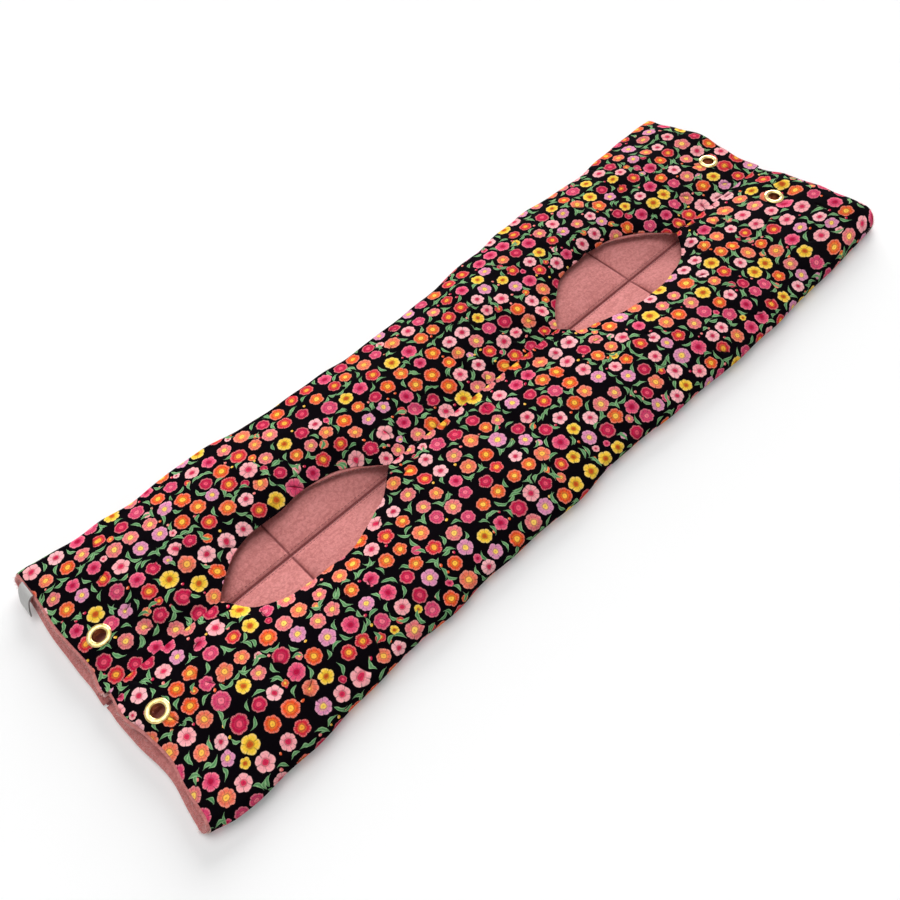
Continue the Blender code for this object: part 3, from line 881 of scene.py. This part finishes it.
def closedCloth(name, outer, inner, flat, holes=None, backFinish=0, rimFinishes=(1, 0, 1, 0)):
    # two grids joined at their borders: first column, last row, last column and first row, each with its own finish
    # holes marks the quads that are left out, and the two grids are joined round them too
    columns, rows = outer.shape[:2]
    count = columns * rows
    index = np.arange(count).reshape(columns, rows)
    a, b, c, d = index[:-1, :-1], index[1:, :-1], index[1:, 1:], index[:-1, 1:]
    kept = np.ones(a.shape, bool) if holes is None else ~holes
    front = np.stack((a, b, c, d), axis=-1)[kept]
    back = np.stack((a, d, c, b), axis=-1)[kept] + count
    loops = [index[0, :], index[:, -1], index[-1, ::-1], index[::-1, 0]]
    rims = [np.stack((loop[:-1], loop[1:], loop[1:] + count, loop[:-1] + count), axis=-1) for loop in loops]
    if holes is not None:
        lower, upper = slice(None, -1), slice(1, None)
        for before, after, first, second, third, fourth in ((lower, upper, b, c, c, d), (upper, lower, d, a, a, b)):
            for wall, one, two in ((kept[before] & holes[after], first[before], second[before]),
                                   (kept[:, before] & holes[:, after], third[:, before], fourth[:, before])):
                pair = np.stack((one[wall], two[wall]), axis=-1)
                rims.append(np.concatenate((pair, pair[:, ::-1] + count), axis=-1))
    faces = np.concatenate([front, back, *rims])
    points = np.concatenate([outer.reshape(-1, 3), inner.reshape(-1, 3)])
    corners = points[faces]
    fan = np.cross(corners[:, 1] - corners[:, 0], corners[:, 2] - corners[:, 0])
    fan += np.cross(corners[:, 2] - corners[:, 0], corners[:, 3] - corners[:, 0])
    if (fan * corners.mean(axis=1)).sum() < 0:
        faces = faces[:, ::-1]
    mesh = bpy.data.meshes.new(name)
    mesh.from_pydata(points.tolist(), [], faces.tolist())
    layer = mesh.uv_layers.new(name="cloth")
    both = np.concatenate([flat.reshape(-1, 2)] * 2)
    layer.data.foreach_set("uv", both[faces.reshape(-1)].astype(np.float32).reshape(-1))
    slots = np.zeros(len(faces), np.int32)
    start = len(front) + len(back)
    slots[len(front):start] = backFinish
    for rim, finish in zip(rims[:4], rimFinishes):
        slots[start:start + len(rim)] = finish
        start += len(rim)
    mesh.polygons.foreach_set("material_index", slots)
    mesh.shade_smooth()
    mesh.set_sharp_from_angle(angle=math.radians(62))
    mesh.update()
    return mesh


def flatArea(flat):        # area of the cut cloth, from its flat coordinates
    a, b, c, d = flat[:-1, :-1], flat[1:, :-1], flat[1:, 1:], flat[:-1, 1:]
    first, second = c - a, d - b
    return float(0.5 * np.abs(first[..., 0] * second[..., 1] - first[..., 1] * second[..., 0]).sum())


foldStop = rowCounts["top"] + rowCounts["fold"]
rowStop = foldStop + rowCounts["bottom"]

liningCloth = {"depths": (0.0013, 0.0043), "ends": (0.3620, 0.3660), "reveal": 0.0020, "finishes": (fleece,),
               "slot": "pink_fleece", "faces": {"rimFinishes": (0, 0, 0, 0)}}

cloths = {        # rows are the first and last of the grid's rows that the piece is made of
    "coverWrap": {"depths": (0.0, 0.0010), "ends": (0.3600, 0.3640), "reveal": 0.0,
                  "finishes": (cotton, rawEdge, cottonBack), "slot": "printed_cotton",
                  "faces": {"backFinish": 2, "rimFinishes": (1, 2, 1, 0)},
                  "rows": (0, rowStop), "nodes": ("cover_top_", "cover_bottom_", "side_fold_cover_")},
    "liningTop": {**liningCloth, "rows": (0, foldStop + 1), "nodes": ("lining_top_", "side_fold_lining_")},
    "liningBottom": {**liningCloth, "rows": (foldStop, rowStop), "nodes": ("lining_bottom_",)},
}

foldRise = (0.0043, 0.0102)        # heights at the turned sides; the upper one tells which lip fibres grow on them


def joinSides(piece):        # bakes the piece's placement into its mesh
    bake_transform(piece)


def makeWrap(kind, side):
    cloth = cloths[kind]
    shape = {"ends": cloth["ends"], "reveal": cloth["reveal"], "flatFromSeam": kind == "coverWrap"}
    first, last = cloth["rows"]
    outer, flat = sleeveGrid(side, cloth["depths"][0], **shape)
    inner, _ = sleeveGrid(side, cloth["depths"][1], quilt=kind != "coverWrap", **shape)
    centre = (outer[:-1, :-1] + outer[1:, 1:]) / 2
    away = np.hypot(np.abs(centre[..., 0]) - sleeve["eyeletX"], np.abs(centre[..., 1]) - sleeve["eyeletY"])
    holes = (away < sleeve["holeRadius"]) & (np.arange(centre.shape[1])[None, :] < rowCounts["top"])
    flat = flat[:, first:last]
    mesh = closedCloth(kind + side, outer[:, first:last], inner[:, first:last], flat, holes[:, first:last - 1],
                       **cloth["faces"])
    piece = newPiece(kind + side, mesh, cloth["finishes"])
    if kind == "liningBottom":
        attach(piece, "bottom_" + side.lower())
    else:
        joinSides(piece)
    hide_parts(*(node + side.lower() for node in cloth["nodes"]))
    length, width = (float(flat[..., axis].max() - flat[..., axis].min()) for axis in (0, 1))
    min(flatArea(flat), width * length)
    print(kind + side, "flat", round(width, 4), "by", round(length, 4), "area", round(flatArea(flat), 5))
    return piece


wraps = {kind + side: makeWrap(kind, side) for kind in cloths for side in sides}
print("cover and lining ready")

# Eyelets and washers, turned

eyelet = {
    "holeRadius": 0.0050,
    "rimRadius": 0.0090,
    "rimHeight": 0.00122,
    "rimFoot": 0.00012,
    "wall": 0.0006,
    "roll": 0.0006,
    "rollReach": 0.0012,
    "washerInner": 0.0059,
    "washerRound": 0.35,        # of its thickness
    "steps": 10,
    "eyeletTurns": 96,
    "washerTurns": 64,
}


def lathe(name, profile, centre, turns):
    mesh = bpy.data.meshes.new(name)
    shape = bmesh.new()
    corners = [shape.verts.new((radius, 0, height)) for radius, height in profile]
    edges = [shape.edges.new((corners[i], corners[(i + 1) % len(corners)])) for i in range(len(corners))]
    bmesh.ops.spin(shape, geom=corners + edges, cent=(0, 0, 0), axis=(0, 0, 1), angle=2 * math.pi,
                   steps=turns, use_duplicate=False)
    bmesh.ops.remove_doubles(shape, verts=shape.verts, dist=1e-6)
    bmesh.ops.recalc_face_normals(shape, faces=shape.faces)
    bmesh.ops.translate(shape, verts=shape.verts, vec=centre)
    shape.to_mesh(mesh)
    shape.free()
    mesh.shade_smooth()
    mesh.set_sharp_from_angle(angle=math.radians(50))
    return mesh


def arcPoints(centre, size, start, stop, steps):
    turns = [math.radians(start + (stop - start) * step / steps) for step in range(steps + 1)]
    return [(centre[0] + size[0] * math.cos(t), centre[1] + size[1] * math.sin(t)) for t in turns]


def eyeletProfile(low, high):        # radius and height all round the section, and where its seat lies
    e = eyelet
    hole, rim, wall = e["holeRadius"], e["rimRadius"], e["wall"]
    seat = high - e["rimHeight"]
    foot = low - seat + e["roll"]
    profile = arcPoints(((rim + hole) / 2, e["rimFoot"]), ((rim - hole) / 2, e["rimHeight"] - e["rimFoot"]),
                        0, 180, 2 * e["steps"])
    profile += [(hole, foot)]
    profile += arcPoints((hole + e["rollReach"], foot), (e["rollReach"], e["roll"]), 180, 360, e["steps"])
    profile += [(hole + 2 * e["rollReach"], foot + wall / 3), (hole + wall, foot + wall / 2)]
    return profile + [(hole + wall, -wall / 3), (rim - wall / 2, -wall / 3)], seat


def washerProfile(low, high):
    thick, outer, inner = high - low, eyelet["rimRadius"], eyelet["washerInner"]
    soft = thick * eyelet["washerRound"]
    profile = arcPoints((outer - soft, soft), (soft, soft), -90, 0, 3)
    profile += arcPoints((outer - soft, thick - soft), (soft, soft), 0, 90, 3)
    return profile + [(inner, thick), (inner, 0)], low


def makeTurned(kind, profileOf, end, side):
    node = f"{kind}_{end.lower()}_{side.lower()}"
    low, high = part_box(node)
    middle = (low + high) / 2
    profile, base = profileOf(low.z, high.z)
    mesh = lathe(kind + end + side, profile, (middle.x, middle.y, base), eyelet[kind + "Turns"])
    piece = newPiece(kind + end + side, mesh, [brass])
    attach(piece, "top_" + side.lower())
    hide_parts(node)


for end in ends:
    for side in sides:
        makeTurned("eyelet", eyeletProfile, end, side)
        makeTurned("washer", washerProfile, end, side)
print("eyelets ready")

# The folded ribbon label, bare

label = {
    "thickness": 0.00032,
    "foldRadius": 0.00042,
    "edgeGap": 0.0004,
    "droop": 1.15,        # how fast it bends down
    "skew": -0.0065,        # the free end lies aside
    "curl": 0.0009,
    "inset": 0.0100,
    "reach": 0.0108,
    "drop": 0.0118,
    "steps": 22,
}


def makeLabel():
    low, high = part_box("label_tag")
    across = np.linspace(low.y + label["inset"], high.y - label["edgeGap"], 32)
    share = np.linspace(0, 1, label["steps"])
    reach, drop = label["reach"], label["drop"]
    radius = label["foldRadius"]
    topX = high.x - (reach - 2 * radius) * share ** 0.92
    topZ = high.z - radius - (drop - 3 * radius) * share ** (1 + label["droop"])
    line = np.stack((topX, topZ), axis=-1)
    along = np.gradient(line, axis=0)
    along /= np.linalg.norm(along, axis=1, keepdims=True)
    above = np.stack((along[:, 1], -along[:, 0]), axis=-1)
    upper, lower = line + radius * above, line - radius * above
    turn = np.linspace(math.pi / 2, -math.pi / 2, 9)[1:-1, None]
    tip = line[-1] + radius * (np.cos(turn) * along[-1] + np.sin(turn) * above[-1])
    path = np.concatenate((upper, tip, lower[::-1]))
    run = np.concatenate((share, np.ones(len(tip)), share[::-1]))
    tangent = np.gradient(path, axis=0)
    tangent /= np.linalg.norm(tangent, axis=1, keepdims=True)
    normal = np.stack((tangent[:, 1], -tangent[:, 0]), axis=-1)
    wave = label["curl"] / 2 * np.sin((across - low.y) / 0.026 * 4.1 + 0.5)[:, None] * run[None, :] ** 2
    place = across[:, None] + label["skew"] * run[None, :] ** 2
    faces = []
    for offset in (label["thickness"] / 2, -label["thickness"] / 2):
        edge = (path - normal * offset)[None]
        faces.append(np.stack(np.broadcast_arrays(edge[..., 0], place, edge[..., 1] + wave), axis=-1))
    around = np.concatenate(([0], np.cumsum(np.linalg.norm(np.diff(path, axis=0), axis=1))))
    flat = np.stack(np.broadcast_arrays(around[None, :], across[:, None]), axis=-1)
    mesh = closedCloth("labelTag", faces[0], faces[1], flat, rimFinishes=(0, 0, 0, 0))
    piece = newPiece("labelTag", mesh, [satin])
    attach(piece, "label")
    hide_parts("label_tag")


makeLabel()
print("label ready")

# Threads and fibres, grown with Geometry Nodes

threads = {
    "stitchLength": 0.0025,
    "stitchPitch": 0.0033,
    "stitchThickness": 0.00030,
    "insideLift": 0.00010,
    "underLift": -0.00012,
    "endRadius": 0.00016,
    "endSides": 6,
    "rowReach": 0.360,
    "rowGaps": (0.003, 0.004),        # a cross row keeps this far from the crease row and from the side
}

fibres = {
    "perSquareMetre": 1.5e6,
    "length": 0.0017,
    "radius": 0.00006,
    "lean": 1.0,
    "floorGap": 0.0001,
    "seed": 7,
}


def newGrowth(name, inputs):
    kinds = {float: floatKind, int: "NodeSocketInt", type(None): "NodeSocketMaterial"}
    tree = bpy.data.node_groups.new(name, "GeometryNodeTree")
    for way in ("INPUT", "OUTPUT"):
        tree.interface.new_socket("Geometry", in_out=way, socket_type="NodeSocketGeometry")
    for title, value in inputs.items():
        socket = tree.interface.new_socket(title, in_out="INPUT", socket_type=kinds[type(value)])
        if value is not None:
            socket.default_value = value
    return tree, Outputs(tree.nodes.new("NodeGroupInput").outputs), tree.nodes.new("NodeGroupOutput").inputs


def finishGrowth(geometry, material, result):        # every tree ends as real faces with a finish
    for kind in ("RealizeInstances", "SetShadeSmooth"):
        geometry = addNode(geometry.tree, "GeometryNode" + kind, {"Geometry": geometry})[0]
    feed(result, {0: addNode(geometry.tree, "GeometryNodeSetMaterial",
                             {"Geometry": geometry, "Material": material})[0]})


def buildStitches():        # short thick stitches along a drawn row
    tree, given, result = newGrowth("stitchRow", {
        "Stitch Length": threads["stitchLength"], "Pitch": threads["stitchPitch"],
        "Thickness": threads["stitchThickness"], "Thread": None})
    row = addNode(tree, "GeometryNodeMeshToCurve", {"Mesh": given["Geometry"]})[0]
    places = addNode(tree, "GeometryNodeResampleCurve", {"Curve": row, "Length": given["Pitch"]}, mode="LENGTH")[0]
    bead = addNode(tree, "GeometryNodeMeshUVSphere", {"Segments": 6, "Rings": 5, "Radius": 0.5})[0]
    size = joined(tree, given["Stitch Length"], given["Thickness"], given["Thickness"])
    stitch = addNode(tree, "GeometryNodeTransform", {"Geometry": bead, "Scale": size})[0]
    tangent = addNode(tree, "GeometryNodeInputTangent")[0]
    turn = addNode(tree, "FunctionNodeAlignRotationToVector", {"Vector": tangent}, axis="X")[0]
    placed = addNode(tree, "GeometryNodeInstanceOnPoints", {"Points": places, "Instance": stitch, "Rotation": turn})[0]
    finishGrowth(placed, given["Thread"], result)
    return tree


def buildStrand():        # a drawn line made round
    tree, given, result = newGrowth("threadStrand", {
        "Radius": threads["endRadius"], "Sides": threads["endSides"], "Thread": None})
    row = addNode(tree, "GeometryNodeMeshToCurve", {"Mesh": given["Geometry"]})[0]
    ring = addNode(tree, "GeometryNodeCurvePrimitiveCircle",
                   {"Resolution": given["Sides"], "Radius": given["Radius"]})[0]
    tube = addNode(tree, "GeometryNodeCurveToMesh", {"Curve": row, "Profile Curve": ring, "Fill Caps": True})[0]
    finishGrowth(tube, given["Thread"], result)
    return tree


def buildFuzz():        # short bent fibres over the faces of the lips
    tree, given, result = newGrowth("fleeceFuzz", {
        "Density": fibres["perSquareMetre"], "Length": fibres["length"], "Radius": fibres["radius"],
        "Lean": fibres["lean"], "Seed": fibres["seed"], "Fibre": None})
    length, lean, seed = given["Length"], given["Lean"], given["Seed"]
    spread = addNode(tree, "GeometryNodeDistributePointsOnFaces",
                     {"Mesh": given["Geometry"], "Density": given["Density"], "Seed": seed})
    strand = addNode(tree, "GeometryNodeCurveQuadraticBezier", {
        "Resolution": 3, "Start": (0, 0, 0), "Middle": joined(tree, length * 0.15, 0.0, length * 0.7),
        "End": joined(tree, length * 0.75, length * 0.25, length * 0.85)})[0]
    ring = addNode(tree, "GeometryNodeCurvePrimitiveCircle", {"Resolution": 3, "Radius": given["Radius"]})[0]
    fibre = addNode(tree, "GeometryNodeCurveToMesh", {"Curve": strand, "Profile Curve": ring})[0]
    tilt = addNode(tree, "FunctionNodeRandomValue", {
        0: joined(tree, lean * -1.0, lean * -1.0), 1: joined(tree, lean, lean, 2 * math.pi), "Seed": seed},
        data_type="FLOAT_VECTOR")[0]
    turn = addNode(tree, "FunctionNodeRotateRotation", {"Rotation": spread["Rotation"], "Rotate By": tilt},
                   rotation_space="LOCAL")[0]
    size = addNode(tree, "FunctionNodeRandomValue", {2: 0.45, 3: 1.15, "Seed": seed}, data_type="FLOAT")[1]
    placed = addNode(tree, "GeometryNodeInstanceOnPoints", {"Points": spread["Points"], "Instance": fibre,
                                                            "Rotation": turn, "Scale": size})[0]
    finishGrowth(placed, given["Fibre"], result)
    return tree


stitchTree, strandTree, fuzzTree = buildStitches(), buildStrand(), buildFuzz()


def grown(name, mesh, tree, values):        # runs a tree on a mesh and keeps a plain mesh
    source = addObject(name, mesh)
    modifier = source.modifiers.new(tree.name, "NODES")
    modifier.node_group = tree
    for item in tree.interface.items_tree:
        if item.item_type == "SOCKET" and item.in_out == "INPUT" and item.name in values:
            modifier[item.identifier] = values[item.name]
    depsgraph = bpy.context.evaluated_depsgraph_get()
    plain = bpy.data.meshes.new_from_object(source.evaluated_get(depsgraph), depsgraph=depsgraph)
    plain.name = name
    bpy.data.objects.remove(source, do_unlink=True)
    piece = addObject(name, plain)
    print(name, len(plain.polygons), "faces")
    return piece


def drawnRows(name, rows):        # each row is a list of points, joined by edges
    mesh = bpy.data.meshes.new(name)
    points, edges = [], []
    for row in rows:
        edges += [(len(points) + i, len(points) + i + 1) for i in range(len(row) - 1)]
        points += [tuple(float(value) for value in point) for point in row]
    mesh.from_pydata(points, edges, [])
    return mesh


def quiltRows(side, under):        # where the quilting is sewn, on the fleece or under the cover
    start, (nearGap, farGap) = quilting["lineFromCrease"], threads["rowGaps"]
    span = np.linspace(-threads["rowReach"], threads["rowReach"], 320)
    lines = [(span, np.full_like(span, start))]
    for line in quilting["crossLines"]:
        edge = float(panelEdge(np.array([line]), side)[0])
        across = np.linspace(start + nearGap, edge - farGap, 60)
        lines.append((np.full_like(across, line), across))
    rows = []
    for x, y in lines:
        if under:
            height = underside(x, y) + threads["underLift"]
        else:
            height = quiltedHeight(x, y, side) + threads["insideLift"]
        rows.append(pullOut(np.stack((x, sides[side] * y, height), axis=-1)))
    return rows


def makeStitches():
    for side in sides:
        name = "quiltStitches" + side
        rows = quiltRows(side, under=False) + quiltRows(side, under=True)
        piece = grown(name, drawnRows(name, rows), stitchTree, {"Thread": darkThread})
        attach(piece, "bottom_" + side.lower())


fuzzParts = {        # the cloth that the fibres grow on, and how far they keep from the crease or the seam
    "Bottom": ("liningBottom", 0.0078),
    "Fold": ("liningTop", 0.0042),
    "Top": ("liningTop", 0.0042),
}

lips = {        # which faces of the lining are lips
    "mouthFrom": 0.3604,
    "mouthHeights": (0.0029, 0.0125),
    "entryHeight": 0.010,
    "entryDepth": 0.004,
    "entryReach": 0.0028,
}


def meshArray(items, field, width, kind=float):        # one property of all the items of a mesh, a row for each
    values = np.zeros(len(items) * width, kind)
    items.foreach_get(field, values)
    return values.reshape(-1, width)


def lipFaces(part, side):        # the faces of the lining at the mouths and along the entries' lips
    kind, gap = fuzzParts[part]
    mesh = wraps[kind + side].data
    normal = meshArray(mesh.polygons, "normal", 3)
    corners = meshArray(mesh.loops, "vertex_index", 1, np.int32).reshape(-1, 4)
    x, y, z = meshArray(mesh.polygons, "center", 3).T
    y = np.abs(y)
    low, high = lips["mouthHeights"]
    mouth = (np.abs(x) > lips["mouthFrom"]) & (normal[:, 2] > -0.5) & (y > gap) & (z > low)
    mouth &= (z < high) | (np.abs(normal[:, 0]) > 0.5)
    opening = entryEdge(x, side)
    rim = (z > lips["entryHeight"]) & (opening > lips["entryDepth"]) & (normal[:, 2] < 0.5)
    rim &= np.abs(y - opening) < lips["entryReach"]
    turned = (y > panelEdge(x, side)) | (z < foldRise[1])
    chosen = corners[(mouth | rim) & ((part == "Bottom") | (turned == (part == "Fold")))]
    used, corners = np.unique(chosen, return_inverse=True)
    bed = bpy.data.meshes.new("lipFuzz" + part + side)
    bed.from_pydata(meshArray(mesh.vertices, "co", 3)[used].tolist(), [], corners.reshape(-1, 4).tolist())
    return bed


def layOnFloor(mesh):        # the lowest fibres lie on the floor
    points = meshArray(mesh.vertices, "co", 3)
    points[:, 2] = np.maximum(points[:, 2], fibres["floorGap"])
    mesh.vertices.foreach_set("co", points.reshape(-1))


def makeFuzz():
    for side in sides:
        for part in fuzzParts:
            # the fibres take the paler finish, painted light
            piece = grown("lipFuzz" + part + side, lipFaces(part, side), fuzzTree,
                          {"Seed": fibres["seed"] + sides[side], "Fibre": fleecePile})
            layOnFloor(piece.data)
            if part == "Fold":
                joinSides(piece)
            else:
                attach(piece, part.lower() + "_" + side.lower())


knot = {        # the seam allowance that peeps out at the near mouth, with its cut thread ends
    "middle": (-0.3622, 0.0030, 0.0112),
    "size": (0.0016, 0.0027, 0.0020),
    "lumps": 0.0005,
    "asideAt": 0.0068,
    "kept": 0.25,
    "ends": (((0, 0, 0), (-0.0020, -0.0012, 0.0012), (-0.0030, -0.0004, 0.0004), (-0.0036, 0.0012, -0.0016)),
             ((0, 0, 0), (-0.0014, 0.0010, 0.0014), (-0.0030, 0.0022, 0.0006), (-0.0044, 0.0022, -0.0010)),
             ((0, 0, 0), (-0.0012, -0.0002, -0.0010), (-0.0030, -0.0012, -0.0026), (-0.0034, -0.0006, -0.0050))),
}


def tuckAside(piece):        # the seam's corner closes on it as the sleeve stands up
    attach(piece, "top_left")
    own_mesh(piece)


def makeKnot():
    shape = bmesh.new()
    bmesh.ops.create_icosphere(shape, subdivisions=4, radius=1.0)
    for vert in shape.verts:
        x, y, z = vert.co
        bulge = knot["lumps"] * (math.sin(5 * x + 4 * z) + math.sin(6 * y - 3 * z) + 0.6 * math.sin(11 * x - 9 * y))
        vert.co = Vector([middle + part * (size + bulge)
                          for middle, size, part in zip(knot["middle"], knot["size"], vert.co)])
    mesh = bpy.data.meshes.new("seamKnot")
    shape.to_mesh(mesh)
    shape.free()
    mesh.shade_smooth()
    # the knot takes the fibres' paler finish, painted light
    piece = newPiece("seamKnot", mesh, [fleecePile])
    tuckAside(piece)
    rows = [[tuple(a + b for a, b in zip(knot["middle"], point)) for point in row] for row in knot["ends"]]
    tuckAside(grown("seamThreadEnds", drawnRows("seamThreadEnds", rows), strandTree, {"Thread": darkThread}))


makeStitches()
makeFuzz()
makeKnot()
print("threads and fibres ready")

# Stage, light and camera

studio = {
    "position": (-0.3103, -0.3373, 0.6018),
    "forward": (0.3506, 0.4410, -0.8262),
    "right": (0.7225, -0.6887, -0.0611),
    "lens": 36.33,
    "ambient": 0.20,
    "lamps": {"overheadLight": {"from": (0.05, 0.28, 1.0), "angle": 50, "strength": 1.52},
              "lowLight": {"from": (0.76, 0.66, 0.21), "angle": 46, "strength": 4.80},
              "frontLight": {"from": (-0.75, -0.45, 0.40), "angle": 60, "strength": 0.50}},
    "floorLift": 0.165,
    "floorHeight": -0.0002,
    "floorSize": 6.0,
}


def makeCamera():
    camera = addObject("camera", bpy.data.cameras.new("camera"))
    forward = Vector(studio["forward"]).normalized()
    right = Vector(studio["right"])
    right = (right - forward * right.dot(forward)).normalized()
    up = right.cross(forward)
    turn = Matrix((right, up, -forward)).transposed().to_4x4()
    camera.matrix_world = Matrix.Translation(studio["position"]) @ turn
    camera.data.lens = studio["lens"]
    camera.data.sensor_width = 36.0
    camera.data.clip_start = 0.01
    bpy.context.scene.camera = camera


def makeLights():
    for name, lamp in studio["lamps"].items():
        sun = bpy.data.lights.new(name, "SUN")
        sun.energy = lamp["strength"]
        sun.angle = math.radians(lamp["angle"])
        holder = addObject(name, sun)
        holder.rotation_mode = "QUATERNION"
        holder.rotation_quaternion = Vector(lamp["from"]).to_track_quat("Z", "Y")


def seenDirectly(tree):        # 1 for camera, mirror and see-through rays
    path = addNode(tree, "ShaderNodeLightPath")
    return most(most(path["Is Camera Ray"], path["Is Glossy Ray"]), path["Is Transmission Ray"])


def makeWorld():
    world = bpy.data.worlds.new("studio")
    world.use_nodes = True
    tree = world.node_tree
    level = seenDirectly(tree) * (1 - studio["ambient"]) + studio["ambient"]
    feed(tree.nodes["Background"].inputs, {"Color": (1, 1, 1, 1), "Strength": level})
    bpy.context.scene.world = world


def makeFloor():
    size = studio["floorSize"]
    mesh = bpy.data.meshes.new("floor")
    mesh.from_pydata([(-size, -size, 0), (size, -size, 0), (size, size, 0), (-size, size, 0)], [], [(0, 1, 2, 3)])
    made, tree, shader = newMaterial("floorPaper")
    feed(shader, {"Base Color": (0.80, 0.80, 0.80, 1),
                  "Roughness": 1.0,
                  "Specular IOR Level": 0.0,
                  "Emission Color": (1, 1, 1, 1),
                  "Emission Strength": seenDirectly(tree) * studio["floorLift"]})
    mesh.materials.append(made)
    floor = addObject("floor", mesh)
    floor.location.z = studio["floorHeight"]


makeCamera()
makeLights()
makeWorld()
makeFloor()
bpy.context.scene.view_settings.view_transform = "Standard"
print("studio ready")
